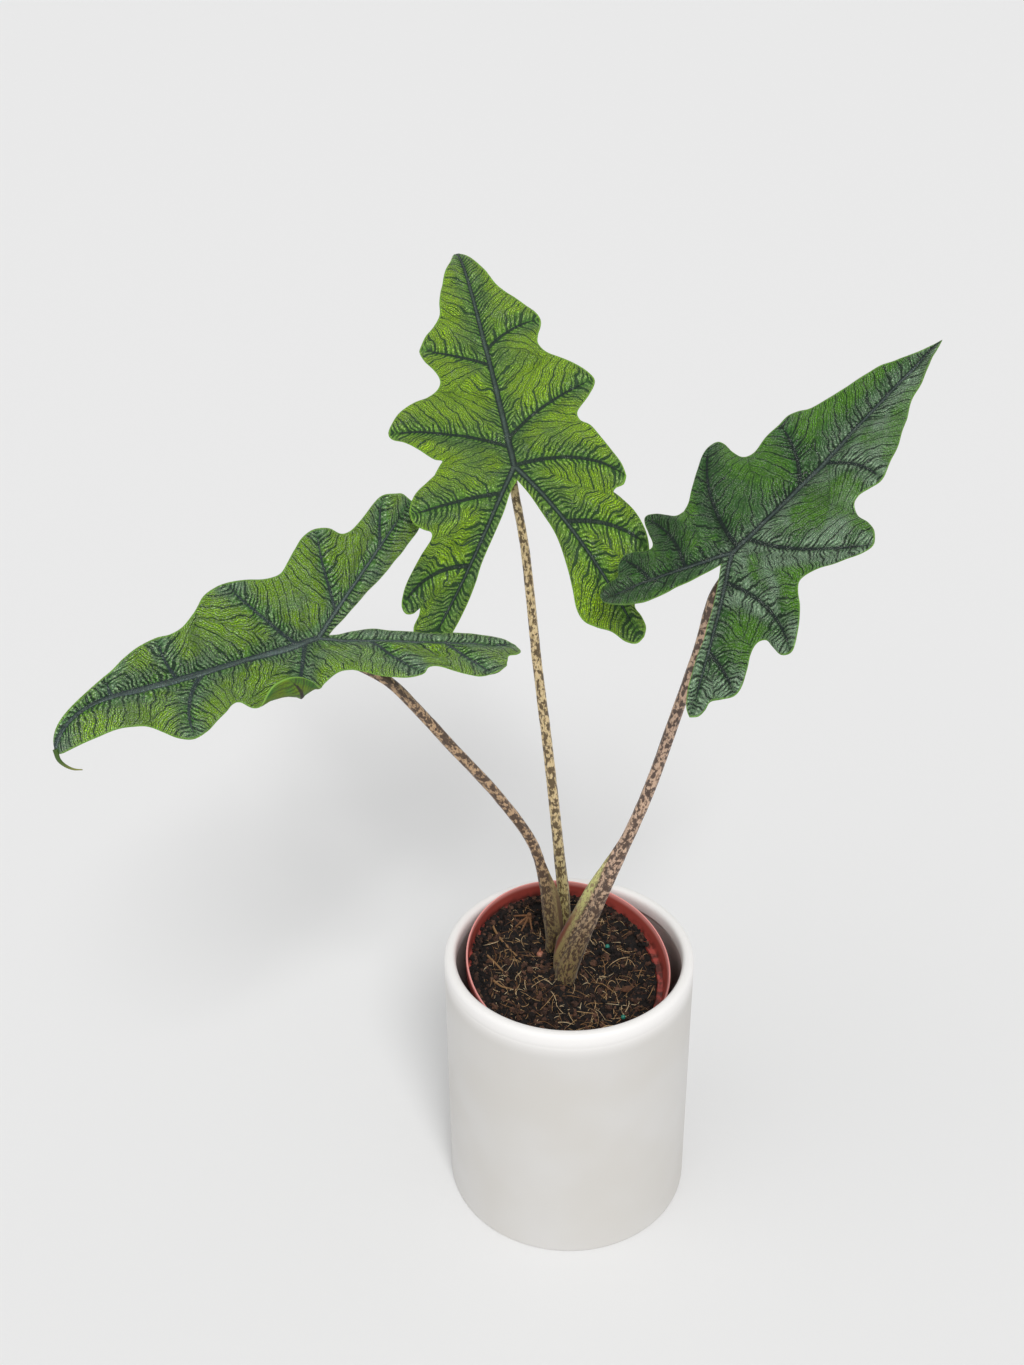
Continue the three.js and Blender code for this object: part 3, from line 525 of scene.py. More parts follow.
CENTRE_POSE = Pose((-28.8, 56.2, 447.4), 1.07, 102, 33, 1, 168, 10, 47, 0)
CENTRE_LEFT = Half(
    -4, 7, 10.5, 62, 31, 96,
    front=((5, 150), (11, 137), (15, 124), (18, 113), (19.5, 104), (24, 97), (30, 90), (33.5, 84, 65, 0.01),
           (34, 79), (32.5, 73), (29, 66), (27, 59), (29.5, 53.5), (35, 49.5), (42, 48.5), (50, 45),
           (55.5, 39), (58, 34, 12, 0.05), (56.5, 29.5), (51, 25), (44, 18), (38, 10.5), (34.5, 8.5),
           (36.5, 5), (40, -1)),
    outer=((45, -5.5), (51, -11), (54.5, -17), (55.5, -22, 17, 0.02), (54, -27), (50, -30), (46.5, -31.5),
           (47, -35), (53, -42.5), (60, -53), (63, -60), (64, -66, 57, 0.15), (62, -69.5), (58, -69),
           (55.5, -66), (56, -70), (59, -76), (58.5, -82), (55, -87, 96)),
    inner=((50, -88.5), (44, -85), (39, -78), (33, -68), (28, -58), (23, -47), (17, -37), (10, -25),
           (5, -15)),
    branches=((0, 120, 15, 128), (0, 97, 13, 103), (0, 40, 22, 52), (20, -34, 34, -40)),
)
CENTRE_RIGHT = Half(
    15, 21, -2, 58, 31, 97,
    front=((4, 151), (9, 134), (15, 117), (19, 109), (25, 99), (29.5, 92), (31, 87, 76, 0.13), (30, 81.5),
           (27.5, 76), (26.5, 71), (29, 65), (34.5, 59), (41, 52), (46, 46), (49, 40, 17, 0.08), (48, 35.5),
           (44.5, 31), (40, 26.5), (36.5, 22), (37, 17), (41, 12), (44, 5), (48, -5), (51.5, -13),
           (52.5, -18.5, 0, 0.12)),
    outer=((50.5, -22), (46.5, -23), (45, -25), (48.5, -28), (54, -34.5), (57.5, -42), (58.5, -49, 39, 0.09),
           (57.5, -57), (54, -65), (50.5, -70), (50, -73), (53, -76.5), (55, -81), (54, -85.5, 97)),
    inner=((50.5, -88.5), (45, -87.5), (38, -83.5), (31, -82), (25, -79), (21.5, -73), (20, -64),
           (18, -53), (14.5, -39), (9, -27), (5, -18)),
    branches=((0, 112, 14, 121), (0, 46, 24, 60), (30, -50, 29, -78)),
)
RIGHT_POSE = Pose((74.3, -39.2, 440.3), 0.966, 25, 37, 23, 158, 11, 15, -10)
RIGHT_LEFT = Half(
    3, -7, 19, 46, 37, 84,
    front=((3, 145), (9, 133), (15, 121), (19, 108), (22, 96), (26, 85), (31, 80), (34, 75),
           (34.5, 69, 47, 0.07), (34, 62), (32.5, 54), (32.5, 47), (36, 42.5), (43, 42), (51, 43.5),
           (56.5, 42.5), (58.5, 38, 4, -0.1), (57, 32), (52, 23), (46.5, 14), (42, 7), (41, 1)),
    outer=((43.5, -3), (50, -6), (58, -9), (64, -12.5), (65.5, -15.5, 26, 0.1), (61, -18), (52, -20.5),
           (45, -22.5), (42.5, -25), (46, -29), (53, -34), (57.5, -39), (58.5, -43.5, 48, 0.06), (56, -47.5),
           (50.5, -51), (52.5, -55), (56, -61), (58, -66.5), (56, -70.5, 84)),
    inner=((51, -70), (43, -65.5), (34, -59.5), (26, -53), (19, -46), (14, -37), (9, -27), (4, -18)),
    branches=((0, 85, 16, 95), (0, 112, 13, 118), (20, -34, 36, -48)),
)
RIGHT_RIGHT = Half(
    21, 6, -5, -5, 35, 84,
    front=((5, 145), (10, 131), (16, 113), (22, 101), (30, 88), (35, 77), (38, 68, 65, 0.1), (37, 61),
           (35.5, 55.5), (38, 50.5), (45, 46.5), (54, 45.5), (61, 43), (66, 37.5, 10, -0.03), (65, 31.5),
           (60, 25.5), (52.5, 19), (46.5, 12.5), (45, 8), (48.5, 4), (54, 0)),
    outer=((60, -6.5), (64.5, -13.5), (65.5, -19, 16, 0.11), (62, -23), (55, -22.5), (50, -22), (47.5, -25.5),
           (50, -32), (55, -39), (59, -46), (59.5, -52, 54, 0.05), (56.5, -57.5), (53.5, -62), (55, -66.5),
           (55, -71), (51.5, -74, 84)),
    inner=((46, -71.5), (39, -64), (31, -53.5), (24, -41), (16, -29), (8, -18)),
    branches=((0, 95, 20, 104), (0, 120, 13, 126), (34, -46, 43, -60)),
)
LEFT_POSE = Pose((-125.9, -43.3, 398.9), 0.988, 230, 9, -14, 165, -4, 122, 1)
LEFT_LEFT = Half(
    -9, 10, 9, -1, 31, 96,
    front=((4, 161), (10, 153), (15, 143), (18, 130), (21, 120), (26, 114), (31, 108.5),
           (33, 101, 72, 0.1), (31.5, 93), (28, 85), (25, 77.5), (22, 71.5), (22, 67.5), (26.5, 64.5),
           (34, 62), (39.5, 56.5), (41.5, 48, 8, 0), (40, 40), (36.5, 33), (32, 27), (28, 21.5),
           (26, 15), (25.5, 8), (28, 2)),
    outer=((33, -2), (40, -6), (46, -12), (50, -18), (51, -24, 27, 0.03), (48.5, -30), (50, -34.5),
           (56, -39.5), (63, -46), (68.5, -53.5), (70.5, -60, 67, 0.04), (69, -66.5), (64.5, -72),
           (61.5, -76.5), (62.5, -82), (60.5, -87.5), (54, -91, 96, 0)),
    inner=((46, -88.5), (39, -79), (32, -67), (25, -57), (18, -45), (11, -35), (4, -24)),
    branches=((0, 40, 14, 56), (0, 105, 16, 113), (24, -44, 40, -46)),
)
LEFT_RIGHT = Half(
    47, 52, 0, -4, 31, 94,
    front=((3, 149), (5.5, 135), (10, 122, 123, 0.1), (14.5, 113), (18.5, 102), (20.5, 91, 86, 0.08),
           (20.5, 84), (22.5, 75.5), (27.5, 67.5), (33.5, 60.5), (36.5, 52), (37.5, 44, 12, 0.02),
           (37, 33), (35, 21), (35.5, 11.5), (40, 5.5)),
    outer=((46, -1.5), (51, -10.5), (52.5, -19, 20, 0.02), (51, -27), (47, -34), (47, -40), (51, -49),
           (57, -59.5), (60, -69, 68, 0.04), (59, -78), (57.5, -84), (51.5, -90, 94)),
    inner=((44.5, -91), (38, -87.5), (33, -79), (27, -67), (20, -52), (14, -38), (7, -23)),
    branches=((0, 54, 18, 68), (22, -36, 38, -54)),
)

SINUS_V = -8.0
TIP_ROOT = 3.0
TIP_CURL_LENGTH = 50.0
VEIN_OVERRUN = 16.0
VEIN_SPACING = 2.6
VEIN_STEP = 0.7
NO_BEND = 1e-9
MIDRIB_STEP = 0.25
DROOP_LENGTH = 100.0
CURL_WIDTH = 50.0
FOLD_EASE = 30.0
DROOP_EASE = 8.0
POINTS_AT_ONCE = 4000
# Half a vein's width at its foot, and how much thinner it gets towards its end, in mm.
MIDRIB_HALF, LOBE_HALF, SIDE_HALF, BRANCH_HALF = (1.7, 1.1), (1.35, 0.85), (1.2, 0.7), (0.42, 0.25)
# Where the length along a vein starts to count, in mm, so that the patterns of neighbours differ.
LOBE_START, SIDE_START, BRANCH_START = 300, 40, 500


class Family(Enum):
    """Kinds of vein, by the mesh attribute that holds distance, phase and half width of the nearest."""

    MAIN = "mid"
    EVEN = "even"
    ODD = "odd"
    BRANCH = "extra"


class Section(Enum):
    """The runs of a half's outline: ahead of the junction, and the two sides of its rear lobe."""

    FRONT = 0
    OUTER = 1
    INNER = 2


@dataclass(frozen=True)
class LeafFinish:
    """Living leaf skin: a waxy green lamina between sunken dark veins, with a fine net and a grey bloom.

    The colours are sRGB hex. brightness shifts the lamina from deep to bright. The shares for the left
    and right halves set how much grey bloom colour shows there: partly the leaf's own grey bloom near the
    lobe tips, partly painted sheen that lies on one half. The ridge share sets the painted highlight on
    the ridges between the veins, glints the share of painted glints, and through the share of light that
    comes through the thin lamina.
    """

    name: str
    bright: str
    middle: str
    deep: str
    second: str
    main: str
    rib: str
    bloom_and_sheen_tone: str
    ridge_highlight: str
    margin: str
    sheen: float
    glints: float
    brightness: float
    bloom_and_sheen_left: float
    bloom_and_sheen_right: float
    ridge_highlights: float = 0.7
    roughness: float = 0.42
    under: str = "#6e8a14"
    under_vein: str = "#2c2026"
    glint_colour: str = "#d5e2d0"
    through: float = 0.1

    def lines(self, coat: Coat) -> dict[str, Socket]:
        """Masks of the vein pattern, from the attributes that the blade's mesh carries.

        Secondary veins lie where the phase is whole, 2.6 mm apart: about 1.3 mm wide beside a main vein
        and half that 16 mm away from it, and each third one is stronger. Fainter lines run halfway
        between them, and one runs where the secondary veins of two main ones meet.

        Args:
            coat: the material that the nodes are added to.

        Returns:
            Sockets by name: flat coordinates in mm, masks of main, rib, second, net and rim, the
            distances near to a vein and edge to the margin, off_line to a secondary vein, pale for the
            midrib's lighter middle, and the noises fine and wobble.
        """
        add = coat.add
        flat = add(Op.ATTRIBUTE, attribute_name="flat", out="Vector")
        veins = {family: add(Op.AXES, add(Op.ATTRIBUTE, attribute_name=family.value, out="Vector"))
                 .node.outputs for family in Family}
        near, phase, width = veins[Family.MAIN]
        pale = add(Op.RISE, add(Op.DIVIDE, near, width), 0.8, 0.1)
        second_near = add(Op.ADD, near, 40.0)
        for family in (Family.EVEN, Family.ODD):
            distance, own_phase, _ = veins[family]
            phase = add(Op.PICK, add(Op.GREATER, near, distance), phase, own_phase)
            second_near = add(Op.LOWER, second_near, add(Op.HIGHER, near, distance))
            near = add(Op.LOWER, near, distance)
        wobble, fine = add(Op.NOISE, flat, 0.11, 0.6), add(Op.NOISE, flat, 0.6, 2.0)
        phase = coat.summed(add(Op.ADD, phase, -1.4), (wobble, 2.6), (fine, 0.2))
        off_line = add(Op.ZIGZAG, phase, 0.5)
        strong = add(Op.RISE, add(Op.ZIGZAG, add(Op.DIVIDE, phase, 3.0), 0.5), 0.3, 0.1)
        width = coat.summed(add(Op.RISE, near, 0.0, 16.0, 0.08, -0.04), (fine, 0.22), (strong, 0.1))
        faint = add(Op.RISE, add(Op.NOISE, flat, 0.12, 2.0), 0.36, 0.6, 0.3, 1.0)
        second = add(Op.MULTIPLY, add(Op.RISE, add(Op.SUBTRACT, off_line, width), 0.09, -0.07),
                     add(Op.HIGHER, faint, strong))
        between = add(Op.ZIGZAG, add(Op.MULTIPLY, phase, 2.0), 0.5)
        meeting = add(Op.SUBTRACT, second_near, near)
        for line, edges, fade in ((between, (0.26, 0.06), (3.0, 6.0, 0.0, 0.7)),
                                  (meeting, (1.4, 0.2), (2.5, 5.0, 0.0, 0.5))):
            line = add(Op.MULTIPLY, add(Op.RISE, line, *edges), add(Op.RISE, near, *fade))
            second = add(Op.HIGHER, second, line)
        inside = {family: add(Op.SUBTRACT, vein[0], vein[2]) for family, vein in veins.items()}
        rib = main = add(Op.RISE, inside[Family.MAIN], 0.3, -0.2)
        for family in (Family.EVEN, Family.ODD, Family.BRANCH):
            main = add(Op.HIGHER, main, add(Op.RISE, inside[family], 0.3, -0.15))
        bent = add(Op.MOVE, flat, add(Op.NOISE, flat, 0.5, 1.0, out="Color"))
        edge = add(Op.AXES, flat, out="Z")
        return {"flat": flat, "near": near, "second": second, "main": main, "rib": rib, "pale": pale,
                "net": add(Op.RISE, add(Op.CELL_EDGES, bent, 0.75), 0.16, 0.02), "edge": edge,
                "off_line": off_line, "rim": add(Op.RISE, edge, 1.2, 0.3, 0.0, 0.8), "fine": fine,
                "wobble": wobble}

    def upper(self) -> Material:
        """Build the upper skin.

        The dark lines read as veins sunk between quilted cells. The cloudy brightness is partly the uneven
        tone of a lamina of uneven age and partly painted light: the bays between the lobes are painted
        brightest, as if lit through, and the lamina next to the veins darker, as shade in their valleys. The
        pale flecks are painted glints, the pale ridges between the veins painted highlights, and the grey
        bloom partly painted sheen.

        Returns:
            The new material.
        """
        coat = Coat(self.name + "_upper")
        add, masks = coat.add, self.lines(coat)
        flat, near, edge = masks["flat"], masks["near"], masks["edge"]
        broad = add(Op.NOISE, flat, 0.035, 2.0)
        # Painted light: the bays between the lobes are painted brighter, as if lit through the thin lamina,
        # and the lamina is painted darker near the veins, as shade in their valleys.
        bays = add(Op.MULTIPLY, add(Op.RISE, edge, 20.0, 4.0), add(Op.RISE, near, 6.0, 12.0))
        light = coat.summed(self.brightness - 1.6, (add(Op.RISE, near, 1.0, 10.0), 0.55), (broad, 1.7),
                            (add(Op.NOISE, flat, 0.3, 4.0), 0.9), (bays, 0.4))
        across = add(Op.AXES, flat, out="X")
        # Grey bloom colour near the lobe tips and in broad patches: partly the leaf's own grey bloom, partly
        # painted sheen, scaled across the leaf from the left share to the right share and weaker in the bays.
        lobes = add(Op.MULTIPLY, add(Op.RISE, edge, 16.0, 3.0), add(Op.RISE, near, 10.0, 3.0))
        bloom_and_sheen = add(Op.MULTIPLY, coat.summed(add(Op.RISE, broad, 0.6, 0.35), (lobes, 0.7)),
                   add(Op.RISE, across, -12.0, 12.0, self.bloom_and_sheen_left, self.bloom_and_sheen_right))
        bloom_and_sheen = add(Op.MULTIPLY, bloom_and_sheen, coat.summed(1.0, (bays, -0.7)))
        # Painted highlight: pale ridges halfway between the secondary veins, in patches, weaker on the left
        # half.
        ridge_highlight = add(Op.RISE, add(Op.NOISE, flat, 0.9, 3.0), 0.44, 0.62, 0.0, self.ridge_highlights)
        for mask in (add(Op.RISE, masks["off_line"], 0.2, 0.38),
                     add(Op.RISE, across, -12.0, 12.0, self.bloom_and_sheen_left + 0.35, 1.0)):
            ridge_highlight = add(Op.MULTIPLY, ridge_highlight, mask)
        # Painted glints: small pale specks in patches, more of them where the grey sheen lies.
        area = coat.summed(add(Op.NOISE, flat, 0.09, 3.0), (bloom_and_sheen, 0.12))
        least = 0.72 - 0.3 * self.glints
        fleck = add(Op.MULTIPLY, add(Op.RISE, add(Op.CELLS, flat, 1.3), 0.3, 0.14),
                    add(Op.RISE, area, least, least + 0.06))
        # Layers: the lamina's tones, grey bloom with painted sheen, painted ridge highlights, painted shade
        # within 3.5 mm of the veins, the fine net, the secondary and main veins, the midrib, painted glints,
        # and the margin.
        colour = coat.layered(
            self.deep, (add(Op.RISE, light, -0.1, 0.45), self.middle),
            (add(Op.RISE, light, 0.35, 1.0), self.bright), (bloom_and_sheen, self.bloom_and_sheen_tone), (ridge_highlight, self.ridge_highlight),
            (add(Op.RISE, near, 3.5, 0.8, 0.0, 0.65), self.deep),
            (add(Op.MULTIPLY, masks["net"], 0.5), self.second),
            (add(Op.MULTIPLY, masks["second"], 0.95), self.second),
            (add(Op.MULTIPLY, masks["main"], 0.95), self.main),
            (add(Op.MULTIPLY, masks["rib"], 0.95), add(Op.MIX, masks["pale"], self.main, self.rib)),
            (add(Op.MULTIPLY, fleck, 0.8), self.glint_colour), (masks["rim"], self.margin))
        height = coat.summed(0.0, (masks["second"], -0.8), (masks["net"], -0.35), (masks["fine"], 0.4),
                             (masks["main"], 0.6))
        matt = add(Op.RISE, masks["fine"], 0.3, 0.7, self.roughness - 0.08, self.roughness + 0.1)
        return coat.finish({
            "Base Color": colour, "Roughness": matt, "Specular IOR Level": 0.35, "Sheen Weight": self.sheen,
            "Sheen Roughness": 0.4, "Subsurface Weight": self.through,
            "Subsurface Radius": (0.4, 1.0, 0.2), "Subsurface Scale": 1 * MM}, height, 1.0, 1.3)

    def lower(self) -> Material:
        """Build the underside: dull olive, with purple-brown ribs and a coarse net.

        Returns:
            The new material.
        """
        coat = Coat(self.name + "_lower")
        masks = self.lines(coat)
        veins = [(coat.add(Op.MULTIPLY, masks[key], share), self.under_vein)
                 for key, share in (("net", 0.25), ("second", 0.5), ("main", 0.9))]
        colour = coat.layered(self.under, (coat.add(Op.RISE, masks["wobble"], 0.35, 0.75), self.deep),
                              *veins, (masks["rim"], self.margin))
        height = coat.summed(0.0, (masks["second"], 0.6), (masks["net"], 0.3))
        return coat.finish({"Base Color": colour, "Roughness": 0.55, "Specular IOR Level": 0.3},
                           height, 0.6, 0.4)


@dataclass
class Blade:
    """One leaf blade, laid out flat from its outline and bent into place.

    step is the greatest distance between the ends of two rays, and rows how many points a ray has.
    thickness, quilt (the height of the quilting) and rib_height are in mm.
    """

    name: str
    pose: Pose
    left: Half
    right: Half
    finish: LeafFinish
    step: float = 1.3
    rows: int = 36
    thickness: float = 0.7
    quilt: float = 2.6
    rib_height: float = 1.4
    seed: int = 1
    roll_up: RollUp | None = None

    def axes(self) -> tuple[Array, Array, Array]:
        """Unit vectors at the junction.

        Returns:
            Along the midrib, out of the upper face, and to the leaf's right.
        """
        azimuth, elevation, roll = np.radians([self.pose.azimuth, self.pose.elevation, self.pose.roll])
        tip = np.array([math.cos(elevation) * math.cos(azimuth), math.cos(elevation) * math.sin(azimuth),
                        math.sin(elevation)])
        level = np.array([0, 0, 1.0]) - tip * tip[2]
        level /= np.linalg.norm(level)
        up = level * math.cos(roll) + np.cross(tip, level) * math.sin(roll)
        return tip, up, np.cross(tip, up)

    def placed(self, u: Array, v: Array, lift: Array) -> Array:
        """Bend flat points into place.

        Formula: ahead of the junction the midrib turns down by bend v / length plus
        tip_curl (share of the last TIP_CURL_LENGTH that v has passed) squared, and sways sideways
        evenly; behind it the lobes droop along an arc, by droop each DROOP_LENGTH. Across, the slope
        starts at the half's fold and falls evenly by its curl each CURL_WIDTH, so the distance out and up
        are the integrals of its cosine and sine. Lift goes along the local normal.

        Args:
            u: distance across, in mm, negative to the left.
            v: distance along the midrib, in mm.
            lift: height out of the upper face, in mm.

        Returns:
            Array of shape (n, 3).
        """
        tip, up, right = self.axes()
        pose = self.pose
        if self.roll_up:
            u, lift = self.roll_up.rolled(u, v, lift)
        ease = smoothstep(v, -FOLD_EASE, FOLD_EASE)
        own = smoothstep(np.abs(u), 0, DROOP_EASE)
        droop, curl, rear, front = (
            np.radians(np.where(u < 0, getattr(self.left, key), getattr(self.right, key)))
            for key in ("droop", "curl", "fold_rear", "fold_front"))
        shared = np.radians((self.left.droop + self.right.droop) / 2)
        droop = (shared * (1 - own) + droop * own) / DROOP_LENGTH
        droop, curl = (np.where(np.abs(value) < NO_BEND, NO_BEND, value)
                       for value in (droop, curl / CURL_WIDTH))
        s = np.arange(0, pose.length + 2 * MIDRIB_STEP, MIDRIB_STEP)
        past = np.maximum(s - (pose.length - TIP_CURL_LENGTH), 0) / TIP_CURL_LENGTH
        bend = np.radians(pose.bend) * s / pose.length + np.radians(pose.tip_curl) * past ** 2
        sway = np.radians(pose.sway) * s / pose.length
        back = droop * np.minimum(v, 0)
        ahead = (np.cumsum(np.cos(bend) * np.cos(sway)) * MIDRIB_STEP - MIDRIB_STEP / 2,
                 np.cumsum(np.cos(bend) * np.sin(sway)) * MIDRIB_STEP,
                 -np.cumsum(np.sin(bend)) * MIDRIB_STEP, bend, sway)
        behind = (np.sin(back) / droop, 0, (np.cos(back) - 1) / droop, back, 0)
        along, sideways, upward, turn, yaw = (np.where(v > 0, np.interp(v, s, a), b)[:, None]
                                              for a, b in zip(ahead, behind))
        normal = np.sin(turn) * tip + np.cos(turn) * up
        local_right = np.cos(yaw) * right - np.sin(yaw) * tip
        fold = rear * (1 - ease) + front * ease
        slope = fold - curl * np.abs(u)
        out = (np.sin(fold) - np.sin(slope)) / curl - lift * np.sin(slope)
        rise = (np.cos(slope) - np.cos(fold)) / curl + lift * np.cos(slope)
        offset = along * tip + sideways * right + upward * up
        offset = offset + (np.sign(u) * out)[:, None] * local_right + rise[:, None] * normal
        return np.array(pose.junction) + pose.size * offset

    def runs(self, half: Half) -> dict[Section, Array]:
        """The half's outline in three runs that share their end points.

        Formula: lobe tips keep their own roots and bows; between them both follow the outline's length.

        Args:
            half: the half whose outline is asked for.

        Returns:
            Arrays of shape (n, 5) by section: root, u, v, bow, and 1 at a lobe's tip.
        """
        far = self.pose.length
        parts = {Section.FRONT: ([(0.0, far), *half.front], far - TIP_ROOT, 0.0),
                 Section.OUTER: ([half.front[-1], *half.outer], 0.0, half.vein_length),
                 Section.INNER: ([half.outer[-1], *half.inner, (0.0, SINUS_V)], half.vein_length, 0.0)}
        runs = {}
        for section, (outline, first, last) in parts.items():
            places = np.array([point[:2] for point in outline], float)
            lengths = lengths_along(places)
            tips = {i: point[2:] for i, point in enumerate(outline) if len(point) > 3}
            final = len(outline) - 1
            known = {**tips, 0: (first, tips.get(0, (0, 0))[1]), final: (last, tips.get(final, (0, 0))[1])}
            order = sorted(known)
            roots, bows = (np.interp(lengths, lengths[order], [known[i][k] for i in order]) for k in (0, 1))
            is_tip = np.isin(np.arange(len(outline)), list(tips)).astype(float)
            runs[section] = np.column_stack([roots, places, bows, is_tip])
        return runs

    @staticmethod
    def edge(run: Array, roots: Array) -> Array:
        """The edge at the ends of rays, on a smooth cubic through the outline points.

        Args:
            run: outline points of shape (n, 5), in order of their roots or against it.
            roots: root values, in mm from the junction.

        Returns:
            Array of shape (m, 3): u, v and bow.
        """
        order = np.argsort(run[:, 0], kind="stable")
        index = np.interp(roots, run[order, 0], np.arange(len(run))[order])
        low = np.minimum(index.astype(int), len(run) - 2)
        s = (index - low)[:, None]
        before, start, end, after = (run[np.clip(low + k, 0, len(run) - 1), 1:4] for k in (-1, 0, 1, 2))
        return ((2 * s ** 3 - 3 * s ** 2 + 1) * start + (s ** 3 - 2 * s ** 2 + s) * (end - before) / 2
                + (3 * s ** 2 - 2 * s ** 3) * end + (s ** 3 - s ** 2) * (after - start) / 2)

    def shared_roots(self, runs: list[Array]) -> Array:
        """Root values for runs that meet along one vein, close enough for both edges.

        Args:
            runs: the outlines on both sides of the vein.

        Returns:
            Rising root values, in mm from the junction.
        """
        own = np.unique(np.concatenate([run[:, 0] for run in runs]))
        roots = []
        for low, high in zip(own[:-1], own[1:]):
            fine = np.linspace(low, high, 9)
            span = max(lengths_along(self.edge(run, fine)[:, :2])[-1] for run in runs)
            roots.append(np.linspace(low, high, max(2, math.ceil(span / self.step)), endpoint=False))
        return np.concatenate([*roots, own[-1:]])

    def ray_grid(self, half: Half, section: Section, run: Array, roots: Array) -> Array:
        """Flat points of all rays of one section.

        Formula: each ray goes straight from its root on the vein to the edge, bowed towards the tip by
        4 t (1 - t) times its bow and its length.

        Args:
            half: the half that the run belongs to.
            section: which of its runs it is.
            run: the section's outline.
            roots: root values, in mm from the junction.

        Returns:
            Array of shape (rays, rows, 4): u, v, share along the ray, and distance to the edge.
        """
        edges = self.edge(run, roots)
        angle = 0 if section is Section.FRONT else math.radians(180 - half.vein_angle)
        start = roots[:, None] * np.array([math.sin(angle), math.cos(angle)])
        t = np.linspace(0, 1, self.rows) ** 1.1
        t[-2] = (t[-2] + 1) / 2
        d = edges[:, :2] - start
        bow = 4 * t * (1 - t) * edges[:, 2:]
        u = start[:, :1] + d[:, :1] * t - d[:, 1:] * bow
        v = start[:, 1:] + d[:, 1:] * t + d[:, :1] * bow
        rim = (1 - t) * np.linalg.norm(d, axis=1)[:, None]
        return np.stack([u, v, np.broadcast_to(t, u.shape), rim], -1)

    def vein_lines(self) -> dict[Family, Array]:
        """Sampled veins: side veins by turns even and odd, the main ones, and branches.

        Returns:
            Arrays of shape (n, 4) by family: u, v, distance along the vein, and half its width.
        """
        lines: dict[Family, list[Array]] = {family: [] for family in Family}

        def draw(family: Family, u: Array, v: Array, along: Array, width: Array) -> None:
            """Add one vein to a family."""
            lines[family].append(np.stack([u, v, along, width], -1))

        s = np.arange(0, self.pose.length, VEIN_STEP)
        draw(Family.MAIN, 0 * s, s, s, MIDRIB_HALF[0] - MIDRIB_HALF[1] * s / self.pose.length)
        for side, half in ((-1.0, self.left), (1.0, self.right)):
            s = np.arange(0, half.vein_length + VEIN_OVERRUN, VEIN_STEP)
            angle = math.radians(half.vein_angle)
            width = LOBE_HALF[0] - LOBE_HALF[1] * np.minimum(s / half.vein_length, 1)
            draw(Family.MAIN, side * s * math.sin(angle), -s * math.cos(angle), s + LOBE_START,
                 width * np.clip((half.vein_length - s - 2) / 8, 0, 1))
            runs, count = self.runs(half), 0
            for section in (Section.FRONT, Section.OUTER):
                run = runs[section]
                for station in run[1:][run[1:, 4] > 0]:
                    ray = self.ray_grid(half, section, run, station[:1])[0][:, :2]
                    ahead = ray[-1] - ray[-4]
                    ray = np.vstack([ray, ray[-1] + ahead * VEIN_OVERRUN / np.linalg.norm(ahead)])
                    lengths = lengths_along(ray)
                    fine = np.arange(0, lengths[-1], VEIN_STEP)
                    width = SIDE_HALF[0] - SIDE_HALF[1] * fine / lengths[-2]
                    draw(Family.ODD if count % 2 else Family.EVEN, side * np.interp(fine, lengths, ray[:, 0]),
                         np.interp(fine, lengths, ray[:, 1]), fine + SIDE_START * (count + 1),
                         width * np.clip((lengths[-2] - fine - 2) / 6, 0, 1))
                    count += 1
            for foot_u, foot_v, end_u, end_v in half.branches:
                fine = np.arange(0, 1, 0.03)
                du, dv, bow = end_u - foot_u, end_v - foot_v, 0.4 * fine * (1 - fine)
                draw(Family.BRANCH, side * (foot_u + du * fine - dv * bow), foot_v + dv * fine + du * bow,
                     fine * math.hypot(du, dv) + BRANCH_START, BRANCH_HALF[0] - BRANCH_HALF[1] * fine)
        return {family: np.vstack(drawn) for family, drawn in lines.items()}

    def near_veins(self, points: Array) -> dict[Family, Array]:
        """For each flat point and family, the nearest vein's distance, phase and half width.

        Formula: with a the distance along the nearest vein and b the distance from it, secondary veins
        follow lines where (a - 0.5 b - 0.02 b squared) / VEIN_SPACING is whole. Veins are drawn on
        past the margin, so that these lines don't wind round their ends.

        Args:
            points: flat points of shape (n, 2).

        Returns:
            Arrays of shape (n, 3) by family.
        """
        found = {}
        for family, line in self.vein_lines().items():
            rows = []
            for chunk in np.array_split(points, max(1, len(points) // POINTS_AT_ONCE)):
                squared = ((chunk[:, None] - line[None, :, :2]) ** 2).sum(-1)
                nearest = squared.argmin(1)
                b = np.sqrt(squared[np.arange(len(chunk)), nearest])
                phase = (line[nearest, 2] - 0.5 * b - 0.02 * b ** 2) / VEIN_SPACING
                rows.append(np.stack([b, phase, line[nearest, 3]], -1))
            found[family] = np.vstack(rows)
        return found

    def layout(self) -> tuple[Array, Array]:
        """Lay the blade out flat: the ray grids of both halves, joined where they meet.

        Returns:
            Points of shape (n, 4), as in ray_grid, and triangles.
        """
        halves = ((self.left, -1), (self.right, 1))
        front_roots = self.shared_roots([self.runs(half)[Section.FRONT] for half, _ in halves])
        points, faces, count = [], [], 0
        for half, side in halves:
            runs = self.runs(half)
            lobe_roots = self.shared_roots([runs[Section.OUTER], runs[Section.INNER]])
            for section, roots in zip(Section, (front_roots[::-1], lobe_roots, lobe_roots[::-1])):
                grid = self.ray_grid(half, section, runs[section], roots)
                grid[..., 0] *= side
                points.append(grid.reshape(-1, 4))
                faces.append(grid_quads(len(roots), self.rows, False)[:, ::-side] + count)
                count += len(points[-1])
        points = np.vstack(points)
        keys = np.round(points[:, :2], 3) + 0.0
        _, first, inverse = np.unique(keys, axis=0, return_index=True, return_inverse=True)
        quads = inverse.ravel()[np.vstack(faces)]
        triangles = np.vstack([quads[:, [0, 1, 2]], quads[:, [0, 2, 3]]])
        return points[first], triangles[(triangles != np.roll(triangles, 1, axis=1)).all(1)]

